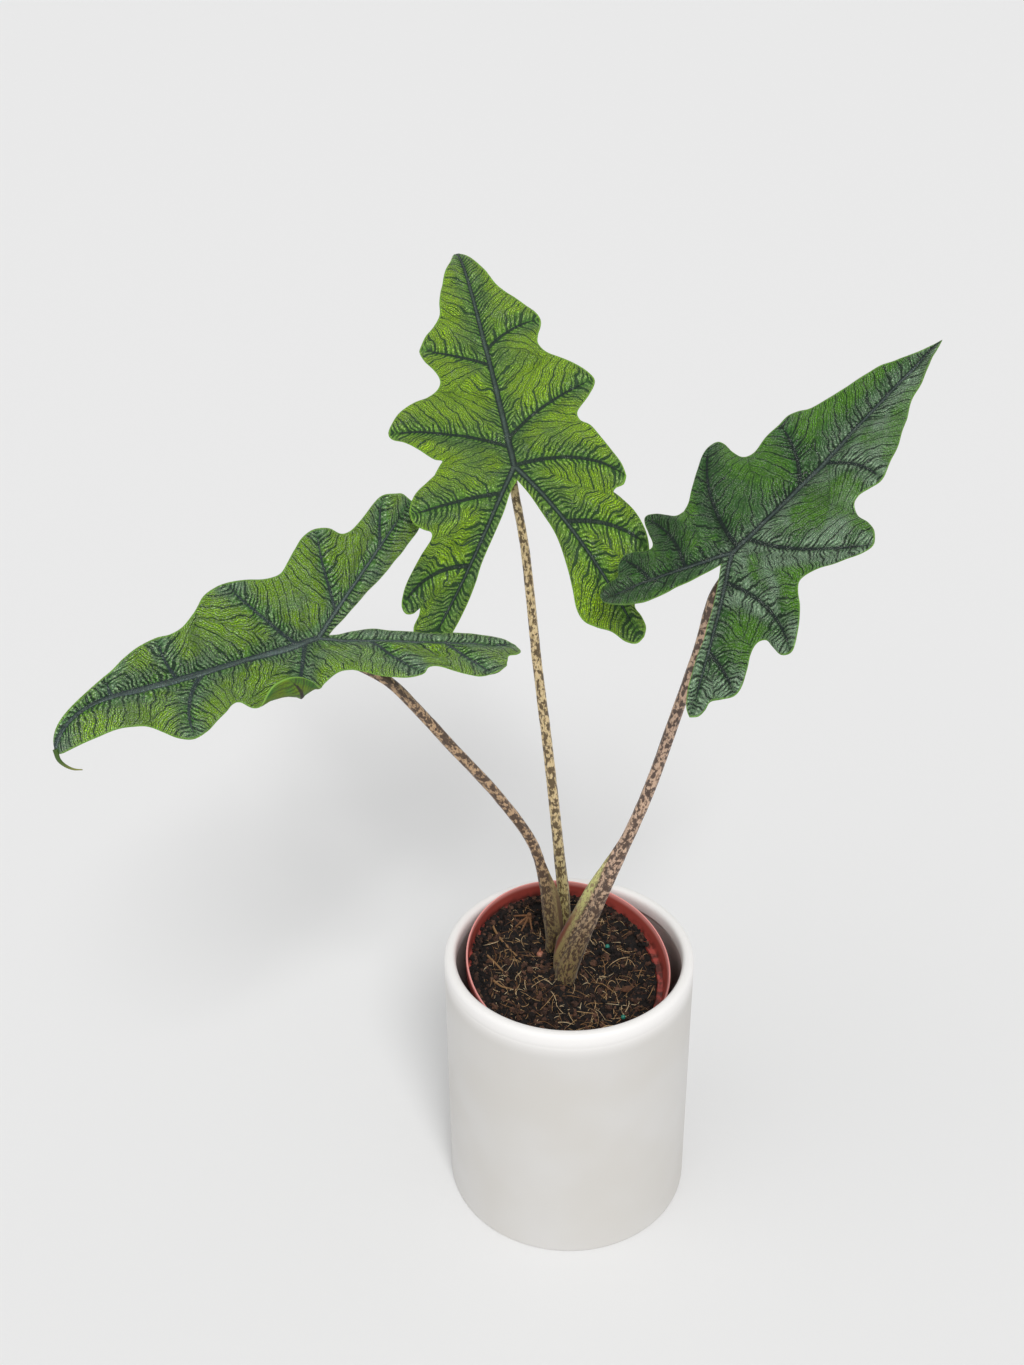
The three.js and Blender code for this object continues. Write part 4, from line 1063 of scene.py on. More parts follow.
    def surface(self) -> Surface:
        """Raise the flat blade's relief, bend it and make it thick.

        Formula: lift = quilting that rises from the veins as 1 - exp(-(distance / 5 mm) squared), plus
        soft waves that grow towards the margin.

        Returns:
            The closed surface, with the attributes flat, even, odd, mid and extra.
        """
        points, triangles = self.layout()
        u, v, t, rim = points.T
        flat, count = points[:, :2], len(points)
        veins = self.near_veins(flat)
        near = np.minimum.reduce([values[:, 0] for values in veins.values()])
        away = smoothstep(np.hypot(u, v), 4, 16)
        raised = self.quilt * (0.5 - np.exp(-(near / 5) ** 2)) * (0.35 + 0.65 * smoothstep(rim, 0, 9))
        waves = 0.9 * shaped_noise(flat, 22, self.seed) + 0.35 * shaped_noise(flat, 7, self.seed + 1)
        ripple = 1.1 * shaped_noise(flat, 11, self.seed + 2) * smoothstep(t, 0.6, 1)
        middle = self.placed(u, v, (raised + waves + ripple) * away)
        a, b, c = (middle[triangles[:, k]] for k in range(3))
        normals = np.zeros_like(middle)
        for k in range(3):
            np.add.at(normals, triangles[:, k], np.cross(b - a, c - a))
        normals /= np.linalg.norm(normals, axis=1, keepdims=True)
        half_thick = self.thickness / 2 * (0.35 + 0.65 * smoothstep(rim, 0, 1.5))
        rib = np.maximum.reduce([values[:, 2] * np.exp(-(values[:, 0] / (values[:, 2] * 1.1 + 0.3)) ** 2)
                                 for values in veins.values()]) * smoothstep(rim, 0, 8)
        depth = half_thick + self.rib_height * rib * (0.3 + 0.7 * away)
        vertices = np.vstack([middle + normals * half_thick[:, None], middle - normals * depth[:, None]])
        starts, ends = triangles.ravel(), np.roll(triangles, -1, axis=1).ravel()
        lone = ~np.isin(starts * count + ends, ends * count + starts)
        starts, ends = starts[lone], ends[lone]
        wall = np.stack([starts, starts + count, ends + count, ends], -1)
        slots = np.repeat([0, 0, 1], [len(wall), len(triangles), len(triangles)])
        vectors = {family.value: values for family, values in veins.items()}
        vectors["flat"] = np.stack([u, v, rim], -1)
        return Surface(vertices, wall, np.vstack([triangles, triangles[:, ::-1] + count]), slots,
                       vectors={key: np.tile(values, (2, 1)) for key, values in vectors.items()})

    def make(self) -> None:
        """Build the blade's mesh and dress both faces."""
        materials = [self.finish.upper(), self.finish.lower()]
        self.surface().build(f"leaf_blade_{self.name}", materials, "leaf_blade", (f"blade_{self.name}",))


@dataclass
class DripTip:
    """The thin tail that a leaf's tip ends in: the points it passes through after the apex, in mm."""

    blade: Blade
    offsets: tuple[Point, ...]
    radius: float = 1.2
    steps: int = 60
    sides: int = 20

    def material(self) -> Material:
        """Build its skin: leaf green that dries to straw at the end, which shows that it is the tip.

        Returns:
            The new material.
        """
        coat = Coat("leaf_drip_tip")
        along = coat.add(Op.AXES, coat.add(Op.ATTRIBUTE, attribute_name="skin", out="Vector"), out="Z")
        colour = coat.layered("#3f5c1c", (coat.add(Op.RISE, along, 4.0, 18.0), "#8c8a3a"))
        return coat.finish({"Base Color": colour, "Roughness": 0.5})

    def make(self) -> None:
        """Sweep the tail, flattened and tapering as 1 - 0.75 t, and dress it."""
        apex = self.blade.placed(*np.array([[0.0], [self.blade.pose.length - 4], [0.0]]))
        path = smooth_path(np.vstack([apex, apex + np.array(self.offsets)]), self.steps)
        t = np.linspace(0, 1, self.steps)[:, None]
        angles = np.linspace(0, 2 * np.pi, self.sides, endpoint=False)
        reach = self.radius * (1 - 0.75 * t) * (1 - 0.25 * np.sin(angles) ** 2)
        swept(path, reach).build("leaf_drip_tip", [self.material()], "leaf_blade")


@dataclass(frozen=True)
class StemFinish:
    """Stem skin: a pale ground crossed by broken dark bands, like snakeskin, and finer flecks.

    ground_low is the ground near the soil, wing and wing_rim the sheath's, and amount says how much of
    the skin the bands cover.
    """

    name: str
    ground: str
    ground_low: str
    band: str
    fleck: str
    wing: str
    wing_rim: str
    amount: float

    def build(self) -> Material:
        """Build the skin from the stem's own unbent coordinates: across, back and along, in mm.

        Bands are cells about 2 mm wide and 3 mm long, shorter near the soil, and flecks 1 by 2 mm.

        Returns:
            The new material.
        """
        coat = Coat(self.name)
        add = coat.add
        skin = add(Op.ATTRIBUTE, attribute_name="skin", out="Vector")
        wing = add(Op.ATTRIBUTE, attribute_name="wing", out="Fac")
        low = add(Op.RISE, add(Op.AXES, skin, out="Z"), 110.0, 20.0)
        cells = [add(Op.SCALE, skin, None, None, scale)
                 for scale in ((0.45, 0.45, 0.3), (0.8, 0.8, 0.34), (1.4, 1.4, 0.42))]
        bands = add(Op.PICK, low, *(add(Op.NOISE, cell, 1.0, 3.0, 0.6, None, 0.15) for cell in cells[:2]))
        flecks = add(Op.NOISE, cells[2], 1.0, 2.0)
        cut = coat.summed(0.62 - 0.14 * self.amount, (add(Op.NOISE, skin, 0.05, 2.0), -0.12))
        dark = add(Op.RISE, add(Op.SUBTRACT, bands, cut), -0.03, 0.04)
        sheath = coat.layered(self.wing, (low, self.ground_low),
                              (add(Op.RISE, flecks, 0.5, 0.6, 0.0, 0.75), self.fleck))
        seam = add(Op.MULTIPLY, add(Op.RISE, wing, 0.55, 0.75), add(Op.RISE, low, 0.3, 0.8))
        colour = coat.layered(
            self.ground, (low, self.ground_low), (add(Op.RISE, flecks, 0.53, 0.62, 0.0, 0.75), self.fleck),
            (add(Op.MULTIPLY, dark, 0.9), self.band), (add(Op.RISE, wing, 0.15, 0.5), sheath),
            (seam, self.wing_rim))
        return coat.finish({
            "Base Color": colour, "Roughness": 0.52, "Sheen Weight": 0.15, "Subsurface Weight": 0.08,
            "Subsurface Radius": (1.0, 0.6, 0.3), "Subsurface Scale": 1.5 * MM},
            coat.summed(0.0, (bands, 0.5), (flecks, 0.3)), 0.5, 0.3)


@dataclass
class Stem:
    """A leaf stem: the points it passes through, its radii at foot, middle and top, and its sheath wing.

    wing is how far the sheath stands out in mm, wing_angle its side in degrees and wing_length its share
    of the stem. depth is how deep the foot lies under the first point, arrival how far below the blade
    the stem turns towards it, and gap what stays free between the two, in mm.
    """

    name: str
    through: tuple[Point, ...]
    radii: Point
    blade: Blade
    finish: StemFinish
    wing: float = 0.0
    wing_angle: float = 0.0
    wing_length: float = 0.2
    steps: int = 320
    sides: int = 72
    depth: float = 16.0
    arrival: float = 8.0
    gap: float = 1.4

    def path(self) -> Array:
        """The stem's centre line, from its foot in the soil to just under the blade.

        Returns:
            Array of shape (steps, 3).
        """
        up = self.blade.axes()[1]
        junction = np.array(self.blade.pose.junction, float)
        foot = np.array(self.through[0]) + np.array([-0.6, 1.5, -self.depth])
        return smooth_path(np.vstack([foot, self.through, junction - up * self.arrival,
                                      junction - up * self.gap]), self.steps)

    def surface(self) -> Surface:
        """Sweep the stem, with faint ridges and the sheath wing.

        Formula: the radius eases from foot to middle over the first 30%, then tapers evenly; the wing
        adds wing exp(-(angle off its side / 0.2) squared), growing out of the foot and fading higher up.

        Returns:
            The closed surface with the attributes skin and wing.
        """
        t = np.linspace(0, 1, self.steps)
        low, middle, high = self.radii
        taper = np.where(t < 0.3, low + (middle - low) * smoothstep(t, 0, 0.3),
                         middle + (high - middle) * (t - 0.3) / 0.7)
        flare = 0.5 * smoothstep(t, 0.97, 1.0)
        angles = np.linspace(0, 2 * np.pi, self.sides, endpoint=False)
        off = (angles - math.radians(self.wing_angle) + np.pi) % (2 * np.pi) - np.pi
        fade = smoothstep(t, 0.02, 0.12) * (1 - smoothstep(t, 0.55 * self.wing_length, self.wing_length))
        share = fade[:, None] * np.exp(-(off / 0.2) ** 2)
        knobs = 0.1 * shaped_noise(np.stack(np.meshgrid(t * 60, angles * 1.5, indexing="ij"), -1), 1.0, 5)
        surface = swept(self.path(), (taper + flare)[:, None] + self.wing * share + knobs
                        + 0.06 * np.cos(9 * angles))
        surface.numbers["wing"] = np.concatenate([share.ravel() * (self.wing > 0), [0, 0]])
        return surface

    def make(self) -> None:
        """Build the stem's mesh and dress it."""
        self.surface().build(f"leaf_stem_{self.name}", [self.finish.build()], "mottled_stem",
                             (f"petiole_{self.name}",))


@dataclass(frozen=True)
class Lean:
    """How the nursery pot leans in the cover pot: its rim's centre in mm, and its tilts in degrees."""

    centre: Point = (-0.1, -1.2, 161.7)
    back_up: float = 14.7
    right_down: float = 7.4

    def matrix(self) -> Array:
        """The rotation: about Y first, then about X."""
        return np.array(Matrix.Rotation(math.radians(self.back_up), 3, "X")
                        @ Matrix.Rotation(math.radians(self.right_down), 3, "Y"))

    def placed(self, points: Array) -> Array:
        """Move points from the leaning pot's frame into the part's frame."""
        return points @ self.matrix().T + np.array(self.centre)


LEAN = Lean()
SOIL_LEVEL = -12.4


def soil_height(x: Array | float, y: Array | float) -> Array | float:
    """Height of the soil in the leaning frame: a low mound round the stems, and small waves.

    Args:
        x: place to the right, in mm.
        y: place to the back, in mm.

    Returns:
        The height under the rim's plane, in mm.
    """
    rise = 1.6 * np.exp(-(x ** 2 + (y - 12) ** 2) / 500)
    waves = np.sin(x * 0.23 + 1.1) * np.cos(y * 0.27 - 0.6) + 0.6 * np.sin(x * 0.51 - y * 0.43)
    return SOIL_LEVEL + rise + 0.9 * waves / 1.6


@dataclass(frozen=True)
class SatinGlaze:
    """White satin glaze on fine stoneware: a soft gloss, with the lip painted whiter as a highlight and
    painted shade low inside.
    """

    wall: str = "#d5d3d0"
    cloud: str = "#d1cec9"
    lip: str = "#f6f4f2"
    painted_inner_shade: str = "#cdc0bb"

    def build(self) -> Material:
        """Build it: faint clouds 60 mm wide, and orange peel of 2.5 mm that softens the gloss.

        Returns:
            The new material.
        """
        coat = Coat("white_satin_glaze")
        add, place = coat.add, coat.add(Op.PLACE, out="Object")
        clouds = coat.grain(60, 2.0)
        height = add(Op.DIVIDE, add(Op.AXES, place, out="Z"), MM)
        reach = add(Op.LENGTH, add(Op.STRETCH, place, (1, 1, 0)))
        # Painted shade: the inner wall from about 13 mm under the rim down takes a grey-pink, as the shade in
        # the gap between the pots.
        inside = add(Op.MULTIPLY, add(Op.RISE, reach, 70 * MM, 69 * MM), add(Op.RISE, height, 156.5, 155.0))
        # Painted highlight: the top 18 mm, most of all the lip, is painted whiter, where it faces the light.
        colour = coat.layered(self.wall, (add(Op.RISE, clouds, 0.3, 0.7), self.cloud),
                              (add(Op.RISE, height, 150.0, 166.0), self.lip), (inside, self.painted_inner_shade))
        return coat.finish({"Base Color": colour, "Roughness": add(Op.RISE, clouds, 0.3, 0.7, 0.36, 0.44)},
                           coat.grain(2.5, 1.0), 0.12, 0.15)


@dataclass(frozen=True)
class MouldedPlastic:
    """Thin moulded terracotta plastic: matt, with a painted highlight along the rim's top and smudged with
    soil inside.
    """

    wall: str = "#a4463d"
    rim: str = "#eb9c95"
    smudge: str = "#33201a"

    def build(self) -> Material:
        """Build it from the attribute level, the height under the rim in mm, with 5 mm smudges.

        Returns:
            The new material.
        """
        coat = Coat("terracotta_plastic")
        add, grime = coat.add, coat.grain(5, 5.0)
        level = add(Op.ATTRIBUTE, attribute_name="level", out="Fac")
        dirt = add(Op.MULTIPLY, add(Op.RISE, level, -5.0, -12.0), add(Op.RISE, grime, 0.4, 0.6, 0.0, 0.85))
        # Painted highlight: the top 4 mm under the rim are painted pale pink, where the edge faces the light;
        # the wall colour is the darker red of the inner wall in shade. The smudges below are soil.
        colour = coat.layered(self.wall, (add(Op.RISE, level, -4.0, -0.5), self.rim), (dirt, self.smudge))
        return coat.finish({"Base Color": colour, "Roughness": 0.45}, grime, 0.2, 0.2)


@dataclass(frozen=True)
class Earthy:
    """A dry natural stuff whose pieces each take their own tone from the attribute shade.

    tones go from the lowest shade to the highest; cell and depth are its grain's size and depth in mm.
    """

    name: str
    tones: tuple[str, ...]
    cell: float
    depth: float
    roughness: float

    def build(self) -> Material:
        """Build it: tones that blend by shade and grain, over a bump of the same grain.

        Returns:
            The new material.
        """
        coat = Coat(self.name)
        shade = coat.add(Op.ATTRIBUTE, attribute_name="shade", out="Fac")
        grain = coat.grain(self.cell, 4.0)
        place = coat.summed(-0.2, (shade, 0.85), (grain, 0.6))
        steps = (np.arange(1, len(self.tones)) - 0.5) / (len(self.tones) - 1)
        colour = coat.layered(self.tones[0], *((coat.add(Op.RISE, place, step - 0.25, step + 0.25), tone)
                                               for step, tone in zip(steps.tolist(), self.tones[1:])))
        return coat.finish({"Base Color": colour, "Roughness": self.roughness}, grain, 0.7, self.depth)


@dataclass
class Pots:
    """The glazed cover pot and the plastic nursery pot that leans in it, in mm.

    The nursery pot's band under the rim is collar high and narrows downwards by flare; ledge is the
    width of the step under it, wall its wall and base its bottom.
    """

    cover_radius: float = 72.5
    cover_height: float = 168.6
    lip_inner: float = 65.7
    wall_inner: float = 67.2
    floor: float = 6.0
    rim_radius: float = 60.3
    height: float = 98.0
    base_radius: float = 41.0
    base: float = 1.8
    wall: float = 1.1
    flare: float = 1.4
    collar: float = 11.2
    ledge: float = 3.1
    segments: int = 256

    def inner_radius(self, height: float) -> float:
        """Inner radius of the nursery pot's tapered wall.

        Args:
            height: height under the rim's plane, in mm.

        Returns:
            The radius there, in mm.
        """
        top = self.rim_radius - self.flare - self.wall - self.ledge
        share = (height + self.collar) / (self.collar - self.height)
        return top + (self.base_radius - self.wall - top) * min(max(share, 0), 1)

    def cover(self) -> Surface:
        """Turn the cover pot: straight wall, soft foot, rounded lip with a shallow step under it.

        Returns:
            The closed surface.
        """
        r, h = self.cover_radius, self.cover_height
        groove = h - 9
        return revolved(rounded([
            (0, 0, 0), (r - 2.2, 0, 0), (r, 0, 2.6), (r, groove - 1.4, 0.8), (r - 0.2, groove, 0.7),
            (r, groove + 1.4, 0.8), (r, h, 4.2), (self.lip_inner, h, 4.2), (self.lip_inner, groove, 1.0),
            (self.wall_inner, groove - 1.2, 1.0), (self.wall_inner, self.floor, 5.0), (0, self.floor, 0),
        ], 9), self.segments)

    def nursery(self) -> Surface:
        """Turn the nursery pot with its collar and ledge, a little out of round, and lean it.

        Returns:
            The closed surface, with the attribute level: height under the rim plane in mm.
        """
        r, inside, under, wall = self.rim_radius, self.inner_radius(-self.collar), -self.collar, self.wall
        low, base = -self.height, self.base - self.height
        surface = revolved(rounded([
            (0, low, 0), (self.base_radius, low, 1.8), (inside + wall, under - wall, 0.8),
            (r - self.flare, under - wall, 0.7), (r, -0.5, 0.3), (r - 0.3, 0.1, 0.25),
            (r - wall + 0.2, 0.1, 0.2), (r - wall, -0.5, 0.2), (r - self.flare - wall, under, 0.9),
            (inside, under, 0.7), (self.inner_radius(base), base, 1.0), (0, base, 0),
        ], 5), self.segments)
        x, y, z = surface.vertices.T
        angle = np.arctan2(y, x)
        wander = 0.25 * np.sin(3 * angle + 0.7) * smoothstep(z, -20, 0)
        surface.numbers["level"] = z
        surface.vertices = LEAN.placed(np.stack([x + wander * np.cos(angle),
                                                 y + wander * np.sin(angle), z], -1))
        return surface

    def make(self) -> None:
        """Build both pots and dress them."""
        self.cover().build("cover_pot_glazed", [SatinGlaze().build()], "white_glaze", ("cover_pot",))
        self.nursery().build("nursery_pot_plastic", [MouldedPlastic().build()], "terracotta_plastic",
                             ("nursery_pot",))


def ball(rounds: int) -> tuple[Array, Array]:
    """A unit ball from an icosahedron whose triangles are cut in four again and again.

    Args:
        rounds: how often they are cut.

    Returns:
        Its vertices and triangles.
    """
    g = (1 + 5 ** 0.5) / 2
    points = np.array([(-1, g, 0), (1, g, 0), (-1, -g, 0), (1, -g, 0), (0, -1, g), (0, 1, g),
                       (0, -1, -g), (0, 1, -g), (g, 0, -1), (g, 0, 1), (-g, 0, -1), (-g, 0, 1)], float)
    faces = np.array([(0, 11, 5), (0, 5, 1), (0, 1, 7), (0, 7, 10), (0, 10, 11), (1, 5, 9), (5, 11, 4),
                      (11, 10, 2), (10, 7, 6), (7, 1, 8), (3, 9, 4), (3, 4, 2), (3, 2, 6), (3, 6, 8),
                      (3, 8, 9), (4, 9, 5), (2, 4, 11), (6, 2, 10), (8, 6, 7), (9, 8, 1)])
    for _ in range(rounds):
        a, b, c = (points[faces[:, k]] for k in range(3))
        corners = np.stack([a, b, c, (a + b) / 2, (b + c) / 2, (c + a) / 2], 1).reshape(-1, 3)
        points, inverse = np.unique(np.round(corners, 6), axis=0, return_inverse=True)
        index = inverse.reshape(-1, 6)
        faces = np.vstack([index[:, part] for part in ([0, 3, 5], [3, 1, 4], [5, 4, 2], [3, 4, 5])])
    return points / np.linalg.norm(points, axis=1, keepdims=True), faces


def lumps(centres: Array, sizes: Array, seed: int, rounds: int, rough: float) -> Surface:
    """Rough lumps: balls stretched along three axes, dented by random amounts and turned.

    Args:
        centres: array of shape (n, 3).
        sizes: half lengths along the lump's own axes, shape (n, 3).
        seed: seeds the dents and turns.
        rounds: how often a ball's faces are cut in four.
        rough: how deep the dents are, as a share of the size.

    Returns:
        The surface of all lumps, with the attribute 'shade': one random number for each lump.
    """
    rng = np.random.default_rng(seed)
    points, faces = ball(rounds)
    n = len(centres)
    dents = 1 + rough * rng.uniform(-1, 1, (n, len(points), 1))
    axes = np.linalg.qr(rng.normal(size=(n, 3, 3)))[0]
    axes *= np.sign(np.linalg.det(axes))[:, None, None]
    local = points[None] * dents * sizes[:, None, :]
    placed = np.einsum("nij,nkj->nki", axes, local) + centres[:, None, :]
    triangles = faces[None] + (np.arange(n) * len(points))[:, None, None]
    shade = np.repeat(rng.uniform(0, 1, n), len(points))
    return Surface(placed.reshape(-1, 3), triangles=triangles.reshape(-1, 3), numbers={"shade": shade})


def strands(paths: Array, radii: Array, sides: int, seed: int) -> Surface:
    """Thin tubes along many paths at once.

    Formula: each tube's section lies across its path, in the plane of the path's direction crossed
    with +Z and with that again.

    Args:
        paths: array of shape (n, k, 3).
        radii: array of shape (n, k).
        sides: how many sides a tube has.
        seed: seeds the shades.

    Returns:
        The surface, with the attribute shade: one random number for each strand.
    """
    n, k, _ = paths.shape
    tangent = np.gradient(paths, axis=1)
    tangent /= np.linalg.norm(tangent, axis=2, keepdims=True) + 1e-9
    first = np.cross(tangent, np.array([0.05, 0.03, 1.0]))
    first /= np.linalg.norm(first, axis=2, keepdims=True) + 1e-9
    second = np.cross(tangent, first)
    cos, sin = (values[0, :, None] for values in polar(np.ones(1), sides))
    points = paths[:, :, None] + radii[..., None, None] * (first[:, :, None] * cos + second[:, :, None] * sin)
    fan = np.stack([np.zeros(sides - 2, int), np.arange(1, sides - 1), np.arange(2, sides)], -1)
    ends = np.vstack([fan[:, ::-1], fan + (k - 1) * sides])
    starts = (np.arange(n) * k * sides)[:, None, None]
    quads = (grid_quads(k, sides, True)[None] + starts).reshape(-1, 4)
    shade = np.repeat(np.random.default_rng(seed).uniform(0, 1, n), k * sides)
    return Surface(points.reshape(-1, 3), quads, (ends[None] + starts).reshape(-1, 3),
                   numbers={"shade": shade})


@dataclass
class PebbleBed:
    """The clay pebbles that the nursery pot stands on: loose ones over their packed bed."""

    pots: Pots
    pebbles: int = 150
    rings: int = 60
    segments: int = 160
    clay: Earthy = Earthy("fired_clay_pebbles", ("#4d2f22", "#6e4632", "#8f6145", "#a67c5c"), 1.6, 0.4, 0.92)

    def seat(self, x: Array, y: Array) -> tuple[Array, Array]:
        """Where the nursery pot's bottom meets an upright line.

        Args:
            x: the line's place to the right, in mm.
            y: its place to the back, in mm.

        Returns:
            The height of that point, and its distance from the nursery pot's axis.
        """
        low, high = ((np.stack([x, y, 0 * x + z], -1) - np.array(LEAN.centre)) @ LEAN.matrix()
                     for z in (0, 1))
        share = (-self.pots.height - 0.3 - low[..., 2]) / (high[..., 2] - low[..., 2])
        foot = low + share[..., None] * (high - low)
        return share, np.hypot(foot[..., 0], foot[..., 1])

    def make(self) -> None:
        """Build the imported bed, sunk a little round the nursery pot, and the pebbles that lie on it.

        Formula: the bed's top is the nursery pot's seat, lowered outside its foot by 3.2 mm and by
        noise of 8 mm cells. Pebbles lie where that seat is free and well above the cover pot's floor.
        """
        pots, clay = self.pots, self.clay.build()
        x, y = polar(np.linspace(0, pots.wall_inner - 0.4, self.rings)[1:], self.segments)
        height, reach = self.seat(x, y)
        free = smoothstep(reach, pots.base_radius + 3, pots.base_radius + 12)
        z = height - 0.4 - free * (3.2 + 1.5 * shaped_noise(np.stack([x, y], -1), 8, 6))
        middle = float(self.seat(np.zeros(1), np.zeros(1))[0][0]) - 0.4
        body = mound(np.stack([x, y, np.maximum(z, pots.floor + 2)], -1), middle, pots.wall_inner - 5,
                     pots.floor + 0.3)
        body.numbers["shade"] = np.full(len(body.vertices), 0.3)
        body.build("pebble_bed", [clay], "expanded_clay", ("clay_pebble_bed",))
        rng = np.random.default_rng(31)
        radius = (pots.wall_inner - 6.5) * np.sqrt(rng.uniform(0.3, 1, self.pebbles * 3))
        angle = rng.uniform(0, 2 * np.pi, self.pebbles * 3)
        x, y = radius * np.cos(angle), radius * np.sin(angle)
        height, reach = self.seat(x, y)
        keep = (reach > pots.base_radius + 9) & (height > pots.floor + 12)
        centres = np.stack([x, y, height - 3.4], -1)[keep][:self.pebbles]
        size = rng.uniform(3.2, 5.4, len(centres))
        sizes = size[:, None] * rng.uniform(0.85, 1.1, (len(centres), 3))
        lumps(centres, sizes, 32, 2, 0.05).build("loose_clay_pebbles", [clay], "expanded_clay")


@dataclass
class Soil:
    """The soil in the nursery pot, with crumbs on it and on the pot's ledge, and fibres among them."""

    pots: Pots
    radius: float = 54.2
    rings: int = 90
    segments: int = 200
    crumbs: int = 2450
    ledge_crumbs: int = 1100
    fibres: int = 900
    earth: Earthy = Earthy("damp_potting_soil", ("#040302", "#0f0907", "#2a1a13", "#6a4a38"), 0.8, 0.8, 0.85)
    straw: Earthy = Earthy("dry_straw_fibre", ("#3a2014", "#76502f", "#c29a68", "#f0dcb4"), 2.0, 0.15, 0.75)

    def body(self) -> Surface:
        """Fill the nursery pot.

        Formula: the top follows the soil height with noise of 2.5 mm and 0.9 mm cells; below it the
        body tapers with the pot down to its floor.

        Returns:
            The closed surface, with painted shade that darkens its hollows by the attribute shade.
        """
        x, y = polar(np.linspace(0, self.radius, self.rings)[1:], self.segments)
        flat = np.stack([x, y], -1)
        rough = 0.5 * shaped_noise(flat, 2.5, 3) + 0.4 * shaped_noise(flat, 0.9, 4)
        floor = 2.4 - self.pots.height
        body = mound(np.stack([x, y, soil_height(x, y) + rough], -1), soil_height(0, 0),
                     self.pots.inner_radius(floor) - 0.4, floor)
        # Painted shade: the hollows of the rough top take darker tones.
        body.numbers["shade"] = 0.2 + 0.3 * np.concatenate([rough.ravel(), np.zeros(self.segments + 2)])
        body.vertices = LEAN.placed(body.vertices)
        return body

    def scattered(self, count: int, rng: np.random.Generator, reach: float) -> tuple[Array, Array]:
        """Even random places on the soil, in the leaning frame.

        Args:
            count: how many.
            rng: the generator that they are drawn from.
            reach: how far from the middle they may lie, in mm.

        Returns:
            Their x and their y.
        """
        radius = reach * np.sqrt(rng.uniform(0, 1, count))
        angle = rng.uniform(0, 2 * np.pi, count)
        return radius * np.cos(angle), radius * np.sin(angle)

    def litter(self, points: int = 9, sides: int = 5) -> Surface:
        """Strew fibres over the soil.

        Formula: each fibre turns evenly along its length, follows the soil's height with an arch over
        it, and is thinner at its ends; one that would leave the soil is drawn back to its rim.

        Args:
            points: how many points a fibre has.
            sides: how many sides it has.

        Returns:
            The surface of all fibres.
        """
        rng, n = np.random.default_rng(21), self.fibres
        x, y = self.scattered(n, rng, self.radius - 4)
        heading = rng.uniform(0, 2 * np.pi, n)
        length = 2 + 16 * rng.uniform(0, 1, n) ** 3
        t = np.linspace(0, 1, points)
        way = heading[:, None] + rng.normal(0, 0.9, n)[:, None] * t
        stride = (length / (points - 1))[:, None]
        x = x[:, None] + np.cumsum(stride * np.cos(way), 1)
        y = y[:, None] + np.cumsum(stride * np.sin(way), 1)
        shrink = np.minimum(1, (self.radius - 1) / np.hypot(x, y))
        x, y = x * shrink, y * shrink
        arch = rng.uniform(0.2, 0.5 + 0.12 * length)[:, None] * np.sin(np.pi * t)
        z = soil_height(x, y) + 0.35 + arch + 0.15 * rng.normal(size=(n, 1))
        thick = rng.uniform(0.06, 0.19, n)[:, None] * (1 - 0.5 * np.abs(2 * t - 1) ** 3)
        return strands(LEAN.placed(np.stack([x, y, z], -1)), thick, sides, 22)

    def make(self) -> None:
        """Build the soil, strew crumbs on it and on the ledge, and lay the fibres."""
        earth = self.earth.build()
        self.body().build("soil_body", [earth], "potting_soil", ("soil",))
        rng = np.random.default_rng(11)
        x, y = self.scattered(self.crumbs, rng, self.radius - 0.8)
        size = 0.5 + 1.3 * rng.uniform(0, 1, self.crumbs) ** 3
        sizes = size[:, None] * rng.uniform(0.6, 1.3, (self.crumbs, 3))
        places = LEAN.placed(np.stack([x, y, soil_height(x, y) + size * 0.5], -1))
        lumps(places, sizes, 12, 1, 0.5).build("soil_crumbs", [earth], "potting_soil", smooth=False)
        around = rng.uniform(math.radians(25), math.radians(320), self.ledge_crumbs)
        reach = rng.uniform(self.radius - 1, self.radius + 2.6, self.ledge_crumbs)
        size = rng.uniform(0.5, 1.5, self.ledge_crumbs)
        sizes = size[:, None] * rng.uniform(0.7, 1.2, (self.ledge_crumbs, 3))
        places = LEAN.placed(np.stack([reach * np.cos(around), reach * np.sin(around),
                                       0.6 * size - self.pots.collar], -1))
        lumps(places, sizes, 13, 1, 0.3).build("soil_on_ledge", [earth], "potting_soil", smooth=False)
        self.litter().build("fibre_litter", [self.straw.build()], "dry_fibre")


@dataclass
class SmallPieces:
    """The modelled bits on the soil that stay as they are: each finish goes by a word in the node's name."""

    finishes: dict[str, Earthy] = field(default_factory=lambda: {
        "cormel": Earthy("pink_corm_skin", ("#a06650", "#cf9a80", "#e8bfa8"), 1.5, 0.2, 0.5),
        "old_leaf_stub": Earthy("dry_leaf_base", ("#6b4a30", "#b07a4c", "#dcb88c"), 1.0, 0.4, 0.9),
        "bark": Earthy("pine_bark", ("#4b2f1f", "#7d5335", "#a9764c"), 1.2, 0.4, 0.9),
        "bead": Earthy("fertiliser_bead", ("#1f7d6c", "#2fae94"), 1.0, 0.1, 0.35),
        "straw": Earthy("pale_straw", ("#8c6a45", "#b8966a"), 1.0, 0.15, 0.75)})

    def make(self) -> None:
        """Dress the carried-over nodes."""
        for key, finish in self.finishes.items():
            material = finish.build()
            for name in (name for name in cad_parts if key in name):
                slots = bpy.data.objects[name].data.materials
                slots.clear()
                slots.append(material)
                LOG.info("%s: dressed in %s", name, finish.name)


